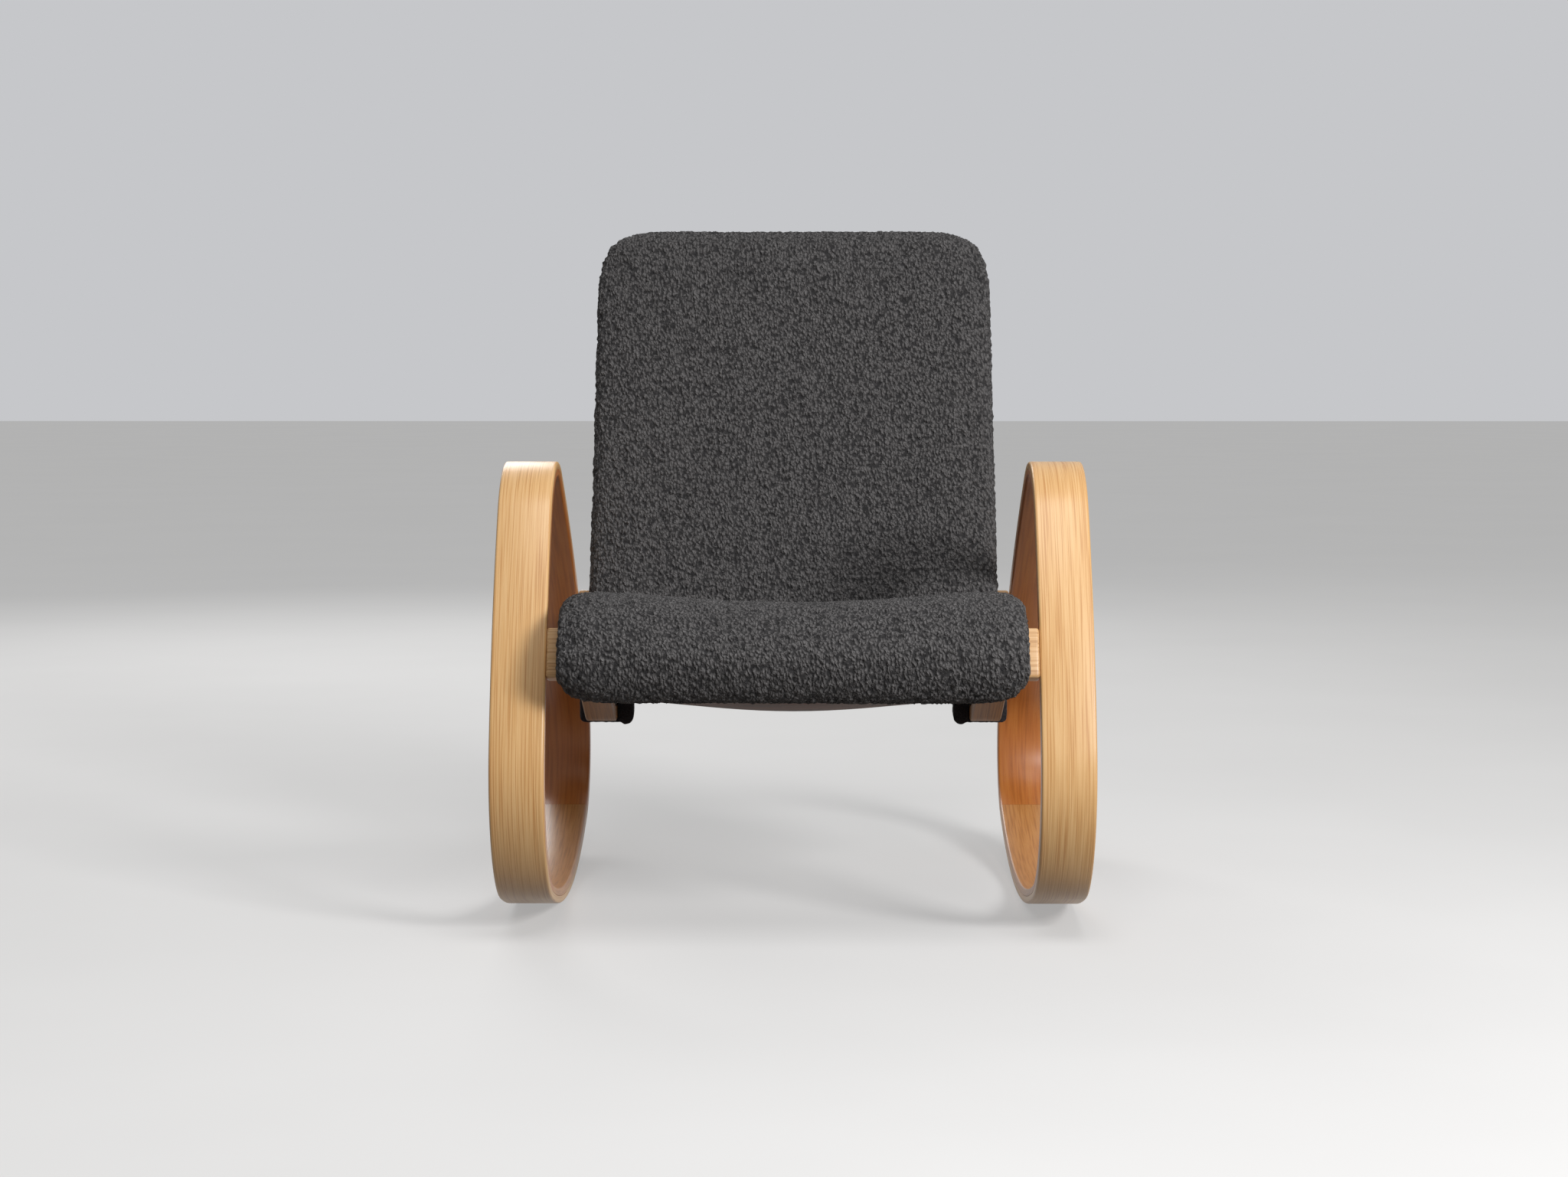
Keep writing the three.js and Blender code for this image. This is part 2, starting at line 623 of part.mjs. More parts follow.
const flapSize = { offset: flapOffset, thickness: PAD_FLAP_THICKNESS };
const rollEnd = memberLine[rollEndIndex];
const bendStart = memberLine[rollEndIndex + 1];
const bendEnd = memberLine[bendEndIndex];
const bendCentre = bendStart.point.clone().addScaledVector(bendStart.normal, BEND_RADIUS);
const foldHeading = (bendStart.heading + bendEnd.heading) / 2;
const foldGapAngle = SEAT_GAP / 2 / (BEND_RADIUS - seatSize.offset - SEAT_PAD_THICKNESS / 2);
const insideBend = ({ offset, thickness }) => ({ offset: offset - BEND_RADIUS, thickness });
const seatFold = insideBend(seatSize);
const backFold = insideBend(backSize);

const startHeading = rad(FRONT_ROLL_END_DEG);
const tuckHeading = startHeading + rad(PAD_TUCK_DEG);
const rollSize = { offset: FRONT_ROLL_RADIUS + seatSize.offset, thickness: SEAT_PAD_THICKNESS };
const seatPath = [
  ...wrapRound(memberStart, tuckHeading, startHeading, seatSize, seatSize, 0, 0).slice(0, -1),
  ...wrapRound(rollCentre, startHeading, rollEnd.heading, rollSize, rollSize, 0, 1),
  ...wrapRound(bendCentre, bendStart.heading, foldHeading - foldGapAngle, seatFold, seatFold, 1, 1),
];
const seatInset = (station, mark) => cornerInset(mark, PAD_PLAN_CORNER);

const topHeading = memberTop.heading;
const flapHeading = topHeading - rad(PAD_TOP_TURN_DEG);
const topTurn = wrapRound(memberTop.point, topHeading, flapHeading, backSize, flapSize, 0, 0);
const flapStart = topTurn[topTurn.length - 1];
const flapDown = new THREE.Vector2(Math.cos(flapHeading), Math.sin(flapHeading));
const flapEnd = { ...flapStart, point: flapStart.point.clone().addScaledVector(flapDown, PAD_FLAP_LENGTH) };
const backLevels = PAD_BACK_SHARES.map(({ along, dish }) => {
  const onMember = bendEnd.point.clone().lerp(memberTop.point, along);
  return {
    point: onMember.addScaledVector(memberTop.normal, backSize.offset),
    heading: topHeading,
    thickness: BACK_PAD_THICKNESS,
    dish,
  };
});
const backPath = [
  ...wrapRound(bendCentre, foldHeading + foldGapAngle, bendEnd.heading, backFold, backFold, 1, 1),
  ...backLevels,
  ...topTurn,
  flapEnd,
];
const backTop = Math.max(...topTurn.map(({ point }) => point.y));
const backInset = ({ point }) => cornerInset(backTop - point.y, PAD_TOP_CORNER);

// Straps pass under a member in the bend and come up on both sides to the underside of the pads
const strapHeading = rad(STRAP_HEADING_DEG);
const strapPlace = {
  point: bendCentre.clone().addScaledVector(leftOf(strapHeading), -BEND_RADIUS),
  normal: leftOf(strapHeading),
};

function strapOutline(side) {
  const under = -MEMBER_THICKNESS / 2 - STRAP_SLACK;
  const top = padLift - SEAT_GAP - STRAP_SLACK;
  const near = MEMBER_WIDTH / 2 + STRAP_SLACK;
  const inner = near + STRAP_INNER_BULK;
  const outer = -near - STRAP_OUTER_BULK;
  const drop = under - STRAP_DROP;
  const flat = under - STRAP_BELOW;
  const hangRadius = STRAP_INNER_BULK / 2;
  const hangCentre = new THREE.Vector2(near + hangRadius, drop + hangRadius);
  const hang = arcPoints(hangCentre, hangRadius, HALF_TURN, 2 * HALF_TURN, STRAP_HANG_STEPS);
  return [
    new THREE.Vector2(near, top),
    new THREE.Vector2(near, under),
    new THREE.Vector2(-near, under),
    new THREE.Vector2(-near, top),
    new THREE.Vector2(outer, top),
    new THREE.Vector2(outer, under),
    new THREE.Vector2(outer + STRAP_OUTER_BULK / 2, flat),
    new THREE.Vector2(near, flat),
    ...hang.slice(1),
    new THREE.Vector2(inner, drop + hangRadius),
    new THREE.Vector2(inner, top),
  ].map((corner) => new THREE.Vector2(-side * corner.x, corner.y));
}

// Assembly: loops
const placeList = Object.values(railPlaces);
const bandOutlines = { outside: loopOutline(BAND_THICKNESS), inside: loopOutline(0) };
Object.entries(sides).forEach(([name, side]) => {
  const x = side * LOOP_X;
  const wide = BAND_WIDTH + CUT_OVERRUN;
  const band = across(bandOutlines.outside, bandOutlines.inside, BAND_WIDTH, BAND_EASE, x);
  const drilled = withDowelHoles(band, placeList, [side]);
  const outer = drilled.subtract(across(loopOutline(INNER_PLY), null, wide, 0, x));
  const lining = drilled.intersect(across(loopOutline(INNER_PLY - SEAT_GAP), null, wide, 0, x));
  const rocker = lining.intersect(across(rockerStretch(0), null, wide, 0, x));
  const upper = lining.subtract(across(rockerStretch(SCARF_GAP), null, wide, 0, x));
  addSolid(`loop_${name}_outer_lamination`, outer, ashFinish);
  addSolid(`loop_${name}_upper_lining`, upper, beechFinish);
  addSolid(`loop_${name}_rocker_lining`, rocker, beechFinish);
});

// Assembly: rails with dowels
const memberCutter = Object.values(sides).map((side) => memberSolid(side * MEMBER_X, SEAT_GAP, 0));
const cutScrews = (solid, names) => names.reduce((part, name) => {
  const { head, direction } = frameScrewPlaces[name];
  return Object.values(sides).reduce((cut, side) => (
    cut.subtract(screwSolid(frameScrew, side * MEMBER_X, head, direction, SEAT_GAP))
  ), part);
}, solid);

function railOutline({ point, outward, along }) {
  const corners = [[1, 1], [1, -1], [-1, -1], [-1, 1]];
  const reach = RAIL_HEIGHT / 2;
  const depth = RAIL_THICKNESS / 2;
  const place = (rise, forward) => (
    point.clone().addScaledVector(along, rise).addScaledVector(outward, forward)
  );
  return corners.flatMap(([up, out]) => {
    const nearEdge = place(up * reach, out * (depth - RAIL_CORNER));
    const nearFace = place(up * (reach - RAIL_CORNER), out * depth);
    return up === out ? [nearFace, nearEdge] : [nearEdge, nearFace];
  });
}

Object.entries(railPlaces).forEach(([name, place]) => {
  const length = 2 * (LOOP_INSIDE_X - SEAT_GAP);
  const blank = across(railOutline(place), null, length, RAIL_END_EASE, 0);
  const drilled = withDowelHoles(blank, [place], Object.values(sides));
  const housed = memberCutter.reduce((part, cutter) => part.subtract(cutter), drilled);
  addSolid(`${name}_cross_rail`, cutScrews(housed, [name]), railFinish);
  Object.entries(sides).forEach(([sideName, side]) => {
    Object.entries(levels).forEach(([levelName, level]) => {
      addSolid(`${name}_${sideName}_${levelName}_dowel`, dowelSolid(place, side, level, 0), dowelFinish);
    });
  });
});

// Assembly: seat frame
Object.entries(sides).forEach(([name, side]) => {
  const x = side * MEMBER_X;
  const bored = cutScrews(memberSolid(x, 0, MEMBER_EASE), Object.keys(frameScrewPlaces));
  const holes = slatPlaces.flatMap((place) => slatScrews(place, SEAT_GAP));
  const drilled = holes.reduce((part, hole) => part.subtract(hole), bored);
  addSolid(`seat_frame_member_${name}`, drilled, frameFinish);
  Object.entries(frameScrewPlaces).forEach(([end, { head, direction }]) => {
    addSolid(`${end}_${name}_frame_screw`, screwSolid(frameScrew, x, head, direction, 0), steelFinish);
  });
});

[['seat', seatSlatPlaces], ['back', backSlatPlaces]].forEach(([name, places]) => {
  places.forEach((place, k) => {
    const blank = alongStation(slatOutline(), SLAT_WIDTH, 0, place, 0);
    const drilled = slatScrews(place, SEAT_GAP).reduce((part, hole) => part.subtract(hole), blank);
    addSolid(`${name}_slat_${k + 1}`, drilled, frameFinish);
    slatScrews(place, 0).forEach((screw, side) => {
      addSolid(`${name}_slat_${k + 1}_screw_${Object.keys(sides)[side]}`, screw, steelFinish);
    });
  });
});

// Assembly: cover pads and straps
addPiece('seat_pad', padGeometry(seatPath, seatInset), boucleFinish);
addPiece('back_pad', padGeometry(backPath, backInset), boucleFinish);
Object.entries(sides).forEach(([name, side]) => {
  const strap = alongStation(strapOutline(side), STRAP_WIDTH, 0, strapPlace, side * MEMBER_X);
  addSolid(`cover_strap_${name}`, strap, strapFinish);
});

// The origin is on the floor under the middle of the whole chair
const extent = new THREE.Box3().setFromObject(chair);
const middle = extent.getCenter(new THREE.Vector3());
chair.position.set(-middle.x, -middle.y, -extent.min.z);
chair.updateMatrixWorld(true);

export default chair;
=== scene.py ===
import math
from collections import namedtuple

import bmesh
import bpy
from mathutils import Matrix, Vector, noise


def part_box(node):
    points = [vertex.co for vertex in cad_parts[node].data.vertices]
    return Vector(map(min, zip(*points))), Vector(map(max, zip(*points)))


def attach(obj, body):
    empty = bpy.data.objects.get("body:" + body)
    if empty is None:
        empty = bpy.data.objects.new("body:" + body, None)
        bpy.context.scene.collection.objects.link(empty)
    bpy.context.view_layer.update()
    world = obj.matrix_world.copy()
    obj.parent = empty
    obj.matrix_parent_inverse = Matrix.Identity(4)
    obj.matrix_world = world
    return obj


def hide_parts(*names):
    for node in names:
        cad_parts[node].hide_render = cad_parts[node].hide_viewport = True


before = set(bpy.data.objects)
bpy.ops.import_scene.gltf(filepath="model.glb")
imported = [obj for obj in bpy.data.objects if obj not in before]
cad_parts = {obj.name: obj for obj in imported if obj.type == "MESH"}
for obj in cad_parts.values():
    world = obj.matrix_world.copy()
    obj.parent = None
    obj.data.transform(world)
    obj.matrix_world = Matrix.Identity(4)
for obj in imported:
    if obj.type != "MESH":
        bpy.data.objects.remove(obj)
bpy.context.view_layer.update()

# Bentwood rocking chair: two laminated loops, two cross-rails, a bent slatted seat frame and a woollen cover.
# Metres, +Z up. The sitter faces -Y. Left and right are as seen from the front, so left is -X.
MM = 0.001
bpy.ops.object.select_all(action="DESELECT")

# The view: a camera at sitting height in front of the chair, looking slightly down at it.
# Its place comes from fitting the chair's outline to the photograph, which is 2048 pixels wide.
PHOTO_WIDTH_PX = 2048
FOCAL_PX = 3700
SENSOR_MM = 36
CAMERA_PLACE = (0.0065, -3.5398, 0.6638)
PITCH_DOWN_DEG = 4.516
YAW_LEFT_DEG = 0.295


def new_object(name, data):
    """Makes an object of a mesh, lamp or camera and puts it in the scene."""
    made = bpy.data.objects.new(name, data)
    bpy.context.scene.collection.objects.link(made)
    return made


camera = new_object("camera", bpy.data.cameras.new("camera"))
camera.data.sensor_width = SENSOR_MM
camera.data.lens = FOCAL_PX / PHOTO_WIDTH_PX * SENSOR_MM
camera.location = CAMERA_PLACE
camera.rotation_euler = (math.radians(90 - PITCH_DOWN_DEG), 0, math.radians(YAW_LEFT_DEG))
bpy.context.scene.camera = camera

# The studio: a plain pale floor and an even pale surround, a large soft lamp from the right and weaker ones
# overhead and behind. The floor looks pale to the eye but throws little light back up, so that the chair's
# undersides stay dark.
FLOOR_REACH = 60
# The floor is a hair below zero, because the round rockers dip under the flat facets that they replace
FLOOR_DROP = 0.6 * MM
FLOOR_PALE = ("#AEADAC", "#B3B2B1")
FLOOR_BOUNCE = "#6A6562"
FLOOR_GLOW = 0.36
FLOOR_CLOUDS = 1.5
SURROUND_COLOUR = "#C6C7CA"
SURROUND_LIGHT = 0.2
KEY_PLACE = (2.1, -2.7, 1.75)
KEY_SIZE = 0.9
KEY_WATTS = 100
TOP_PLACE = (0.3, -1.5, 3.2)
TOP_SIZE = 1.4
TOP_WATTS = 38
BACK_PLACE = (-1.3, 3.3, 2.6)
BACK_SIZE = 1.8
BACK_WATTS = 55
LAMP_AIM = (0, 0, 0.4)


def linear(colour):
    """Turns an sRGB hex colour into linear red, green, blue and alpha."""
    parts = [int(colour[k:k + 2], 16) / 255 for k in (1, 3, 5)]
    return tuple(p / 12.92 if p <= 0.04045 else ((p + 0.055) / 1.055) ** 2.4 for p in parts) + (1,)


def add_node(tree, kind, inputs=None, stops=None, **settings):
    """Adds a node with its settings. Each input is a value or another node's output; stops colour a ramp."""
    node = tree.nodes.new(kind)
    for key, value in settings.items():
        setattr(node, key, value)
    for socket, value in (inputs or {}).items():
        if isinstance(value, bpy.types.NodeSocket):
            tree.links.new(value, node.inputs[socket])
        else:
            node.inputs[socket].default_value = value
    for index, (place, colour) in enumerate(stops or []):
        ramp = node.color_ramp.elements
        stop = ramp[index] if index < 2 else ramp.new(place)
        stop.position = place
        stop.color = linear(colour)
    return node


def new_material(name):
    material = bpy.data.materials.new(name)
    material.use_nodes = True
    material.node_tree.nodes.clear()
    return material, material.node_tree


def finish_material(tree, shader):
    add_node(tree, "ShaderNodeOutputMaterial", {"Surface": shader.outputs[0]})


def seen_by_eye(tree):
    """1 for rays that the eye follows, straight, mirrored or through glass, and 0 for light on its way."""
    ray = add_node(tree, "ShaderNodeLightPath")
    seen = add_node(tree, "ShaderNodeMath",
                    {0: ray.outputs["Is Camera Ray"], 1: ray.outputs["Is Glossy Ray"]}, operation="MAXIMUM")
    seen = add_node(tree, "ShaderNodeMath",
                    {0: seen.outputs[0], 1: ray.outputs["Is Transmission Ray"]}, operation="MAXIMUM")
    return seen.outputs[0]


world = bpy.data.worlds.new("studio_surround")
world.use_nodes = True
sky = world.node_tree
sky.nodes.clear()
soft_light = add_node(sky, "ShaderNodeBackground", {"Color": (1, 1, 1, 1), "Strength": SURROUND_LIGHT})
pale_surround = add_node(sky, "ShaderNodeBackground", {"Color": linear(SURROUND_COLOUR), "Strength": 1.0})
surround = add_node(sky, "ShaderNodeMixShader",
                    {0: seen_by_eye(sky), 1: soft_light.outputs[0], 2: pale_surround.outputs[0]})
add_node(sky, "ShaderNodeOutputWorld", {"Surface": surround.outputs[0]})
bpy.context.scene.world = world
bpy.context.scene.view_settings.view_transform = "Standard"

for name, place, size, watts in (
    ("key_softbox", KEY_PLACE, KEY_SIZE, KEY_WATTS),
    ("top_softbox", TOP_PLACE, TOP_SIZE, TOP_WATTS),
    ("back_softbox", BACK_PLACE, BACK_SIZE, BACK_WATTS),
):
    lamp = new_object(name, bpy.data.lights.new(name, "AREA"))
    lamp.data.shape = "SQUARE"
    lamp.data.size = size
    lamp.data.energy = watts
    lamp.location = place
    lamp.rotation_euler = (Vector(LAMP_AIM) - Vector(place)).to_track_quat("-Z", "Y").to_euler()

bpy.ops.mesh.primitive_plane_add(size=FLOOR_REACH, location=(0, 0, -FLOOR_DROP))
floor = bpy.context.object
floor.name = "studio_floor"
bpy.ops.object.transform_apply(location=True, rotation=True, scale=True)

# Painted studio floor: rolled matt paint, so it shows only a very faint cloudiness
floor_paint, tree = new_material("floor_matt_paint")
place = add_node(tree, "ShaderNodeTexCoord")
cloud = add_node(tree, "ShaderNodeTexNoise",
                 {"Vector": place.outputs["Object"], "Scale": FLOOR_CLOUDS, "Detail": 3})
tone = add_node(tree, "ShaderNodeValToRGB", {"Fac": cloud.outputs["Fac"]},
                stops=[(0.3, FLOOR_PALE[0]), (0.7, FLOOR_PALE[1])])
paint = add_node(tree, "ShaderNodeBsdfDiffuse", {"Color": tone.outputs[0]})
glow = add_node(tree, "ShaderNodeEmission", {"Color": (1, 1, 1, 1), "Strength": FLOOR_GLOW})
pale_floor = add_node(tree, "ShaderNodeAddShader", {0: paint.outputs[0], 1: glow.outputs[0]})
dim_floor = add_node(tree, "ShaderNodeBsdfDiffuse", {"Color": linear(FLOOR_BOUNCE)})
finish_material(tree, add_node(tree, "ShaderNodeMixShader",
                               {0: seen_by_eye(tree), 1: dim_floor.outputs[0], 2: pale_floor.outputs[0]}))
floor.data.materials.append(floor_paint)

# The loops: each is one closed band, arm rest above and rocker below, bent from ash veneers glued in a mould.
# A closed outer lamination runs all the way round, with an inner lining in two lengths, one along the rocker.
# Seen from the side, three rounded corners are joined by three long bows.
LOOP_WIDTH = 63 * MM
OUTER_PLY = 9 * MM
INNER_PLY = 9 * MM
GLUE_LINE = 0.3 * MM
SCARF_GAP = 0.4 * MM
RIM_EASE = 3 * MM
INNER_EASE = 0.4 * MM
EASE_STEPS = 4
BEND_STEP = 9 * MM
FEWEST_STEPS = 3
MERGE = 0.02 * MM
SMOOTH_DEG = 35
# The right loop takes its grain this many metres along the wood from the left one's, so that the two differ
GRAIN_APART = 5
# A stretch is charged this many times for the length by which it misses a point
MISS_COST = 10

Corner = namedtuple("Corner", "depth height radius")
FOOT = Corner(160 * MM, 186 * MM, 142 * MM)
ARM = Corner(220 * MM, 426 * MM, 100 * MM)
NOSE = Corner(624 * MM, 142 * MM, 85 * MM)
ROCKER_RADIUS = 860 * MM
ARM_BOW_RADIUS = 1995 * MM
FRONT_BOW_RADIUS = 870 * MM

# A bend goes round a centre from a bearing, to the left where its turn is positive. A run goes straight.
Bend = namedtuple("Bend", "centre radius bearing turn")
Run = namedtuple("Run", "start heading length")


def bow_centre(start, end, radius):
    """Centre of the bow that leaves one corner and meets the next smoothly."""
    first = Vector((start.depth, start.height))
    span = Vector((end.depth, end.height)) - first
    start_pull = radius - start.radius
    end_pull = radius - end.radius
    along = (start_pull ** 2 - end_pull ** 2 + span.length_squared) / (2 * span.length)
    rise = math.sqrt(start_pull ** 2 - along ** 2)
    forward = span.normalized()
    return first + forward * along + Vector((-forward.y, forward.x)) * rise


def bearing(centre, point):
    return math.atan2(point[1] - centre[1], point[0] - centre[0])


def left_turn(start, end):
    return (end - start) % (2 * math.pi)


def bend_between(centre, radius, start, end):
    return Bend(Vector(centre[:2]), radius, start, left_turn(start, end))


rocker_centre = bow_centre(FOOT, NOSE, ROCKER_RADIUS)
arm_bow_centre = bow_centre(NOSE, ARM, ARM_BOW_RADIUS)
front_bow_centre = bow_centre(ARM, FOOT, FRONT_BOW_RADIUS)
foot_to_rocker = bearing(rocker_centre, FOOT)
rocker_to_nose = bearing(rocker_centre, NOSE)
nose_to_arm = bearing(arm_bow_centre, NOSE)
arm_to_corner = bearing(arm_bow_centre, ARM)
corner_to_front = bearing(front_bow_centre, ARM)
front_to_foot = bearing(front_bow_centre, FOOT)
nose_bend = bend_between(NOSE, NOSE.radius, rocker_to_nose, nose_to_arm)
arm_bow = bend_between(arm_bow_centre, ARM_BOW_RADIUS, nose_to_arm, arm_to_corner)
arm_bend = bend_between(ARM, ARM.radius, arm_to_corner, corner_to_front)
front_bow = bend_between(front_bow_centre, FRONT_BOW_RADIUS, corner_to_front, front_to_foot)
foot_bend = bend_between(FOOT, FOOT.radius, front_to_foot, foot_to_rocker)
rocker_bow = bend_between(rocker_centre, ROCKER_RADIUS, foot_to_rocker, rocker_to_nose)
upper_path = [nose_bend, arm_bow, arm_bend, front_bow, foot_bend]


def stretch_length(stretch):
    return stretch.length if isinstance(stretch, Run) else stretch.radius * abs(stretch.turn)


def reach_in(stretch, point):
    """How far a point (depth, height) lies along a stretch, and how far to its left."""
    if isinstance(stretch, Run):
        forward = Vector((math.cos(stretch.heading), math.sin(stretch.heading)))
        step = point - stretch.start
        return step.dot(forward), forward.cross(step)
    arm = point - stretch.centre
    way = math.copysign(1, stretch.turn)
    gone = way * (math.atan2(arm.y, arm.x) - stretch.bearing)
    half = abs(stretch.turn) / 2
    gone = half + (gone - half + math.pi) % (2 * math.pi) - math.pi
    return gone * stretch.radius, way * (stretch.radius - arm.length)


def find_stretch(path, point):
    """The stretch that a point belongs to, and the length of the path before it."""
    best = None
    before = 0
    for stretch in path:
        along, left = reach_in(stretch, point)
        miss = max(-along, along - stretch_length(stretch), 0) * MISS_COST + abs(left)
        if best is None or miss < best[0]:
            best = (miss, stretch, before)
        before += stretch_length(stretch)
    return best[1], best[2]


def path_start(path, left):
    """Point on the first stretch, moved to its left, and the heading there."""
    first = path[0]
    if isinstance(first, Run):
        point, heading = first.start, first.heading
    else:
        way = math.copysign(1, first.turn)
        arm = Vector((math.cos(first.bearing), math.sin(first.bearing)))
        point, heading = first.centre + arm * first.radius, first.bearing + way * math.pi / 2
    return point + Vector((-math.sin(heading), math.cos(heading))) * left, heading


def select_vertices(piece, wanted):
    """In edit mode, selects only the vertices that a test on their place picks."""
    mesh = bmesh.from_edit_mesh(piece.data)
    for vertex in mesh.verts:
        vertex.select = wanted(vertex.co)
    mesh.select_flush_mode()
    bmesh.update_edit_mesh(piece.data)


def bent_strip(name, path, left, width, thickness, eases, closed=False):
    """Sweeps a flat section with eased corners along a path. left is the section's middle; eases are (rims on
    the path's right, rims on its left)."""
    point, heading = path_start(path, left)
    bpy.ops.object.select_all(action="DESELECT")
    bpy.ops.mesh.primitive_plane_add(size=1, location=(0, point.x, point.y))
    strip = bpy.context.object
    strip.name = name
    strip.rotation_euler = (heading + math.pi / 2, 0, 0)
    strip.scale = (width, thickness, 1)
    bpy.ops.object.transform_apply(location=True, rotation=True, scale=True)
    bpy.ops.object.mode_set(mode="EDIT")
    bpy.ops.mesh.select_mode(type="VERT")
    normal = Vector((0, -math.sin(heading), math.cos(heading)))
    middle = Vector((0, point.x, point.y))
    for side, ease in zip((-1, 1), eases):
        select_vertices(strip, lambda place: (place - middle).dot(normal) * side > thickness / 2 - MERGE)
        bpy.ops.mesh.bevel(offset=ease, offset_type="OFFSET", segments=EASE_STEPS, affect="VERTICES")
    bpy.ops.mesh.select_all(action="SELECT")
    bpy.ops.mesh.delete(type="ONLY_FACE")
    bpy.ops.mesh.select_all(action="SELECT")
    for stretch in path:
        if isinstance(stretch, Run):
            step = (0, stretch.length * math.cos(stretch.heading), stretch.length * math.sin(stretch.heading))
            bpy.ops.mesh.extrude_region_move(TRANSFORM_OT_translate={"value": step})
        else:
            steps = max(FEWEST_STEPS, round(stretch_length(stretch) / BEND_STEP))
            bpy.ops.mesh.spin(steps=steps, angle=-stretch.turn, axis=(1, 0, 0),
                              center=(0, stretch.centre.x, stretch.centre.y))
    bpy.ops.mesh.select_all(action="SELECT")
    bpy.ops.mesh.remove_doubles(threshold=MERGE)
    if not closed:
        bpy.ops.mesh.fill_holes(sides=0)
        bpy.ops.mesh.select_all(action="SELECT")
    bpy.ops.mesh.normals_make_consistent(inside=False)
    bpy.ops.object.mode_set(mode="OBJECT")
    bpy.ops.object.shade_smooth_by_angle(angle=math.radians(SMOOTH_DEG))
    mark_grain(strip, path)
    return strip


def mark_grain(piece, path):
    """Gives each face corner its place in the wood, in metres: along the bend, across the piece, through."""
    mesh = piece.data
    grain = mesh.attributes.new("grain", "FLOAT_VECTOR", "CORNER")
    for face in mesh.polygons:
        stretch, before = find_stretch(path, Vector((face.center.y, face.center.z)))
        for corner in face.loop_indices:
            place = mesh.vertices[mesh.loops[corner].vertex_index].co
            along, left = reach_in(stretch, Vector((place.y, place.z)))
            grain.data[corner].vector = (before + along, place.x, left)


def apply_modifier(piece, kind, **settings):
    """Adds a modifier with its settings to a piece and applies it."""
    bpy.context.view_layer.objects.active = piece
    added = piece.modifiers.new(kind.lower(), kind)
    for key, value in settings.items():
        setattr(added, key, value)
    bpy.ops.object.modifier_apply(modifier=added.name)


def place_copy(piece, name, shift, material, nodes, grain_shift=0):
    """Copies a modelled piece with its own mesh, moves the mesh into place, attaches it to the root body and
    hides the CAD nodes that it stands in for.
    """
    copy = new_object(name, piece.data.copy())
    copy.data.transform(Matrix.Translation(shift))
    if grain_shift:
        for corner in copy.data.attributes["grain"].data:
            corner.vector = Vector(corner.vector) + Vector((grain_shift, 0, 0))
    copy.data.materials.clear()
    copy.data.materials.append(material)
    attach(copy, "root")
    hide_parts(*nodes)


# What every wood here shares: how its noises spread and weigh, where its rings, tones and pores start and are
# full, how the glue lines between its veneers look, and how its finish shines
SWAY_SPREAD = 4
SWAY_WEIGHT = 0.4
RING_WOBBLE = 0.15
RING_SPAN = (0.3, 0.68)
STREAK_ROUGHNESS = 0.65
TONE_SPAN = (0.5, 1.85)
MIDDLE_STOP = 0.45
PORE_FINENESS = 2.2
PORE_SPAN = (0.62, 0.74)
PORE_DARK = 0.5
PORE_DEPTH = 0.1 * MM
PORE_RELIEF = 0.25
VENEER = 3 * MM
VENEER_LINE = 0.09
VENEER_LINE_DARK = 0.45
SHINE_SWING = 0.06
LACQUER_IOR = 1.5
COAT_ROUGHNESS = 0.28


def remap(tree, value, span, result=(0, 1), **settings):
    """Maps the span of a value onto a result, and holds it there outside the span."""
    return add_node(tree, "ShaderNodeMapRange", {
        "Value": value, "From Min": span[0], "From Max": span[1], "To Min": result[0], "To Max": result[1],
    }, **settings).outputs[0]


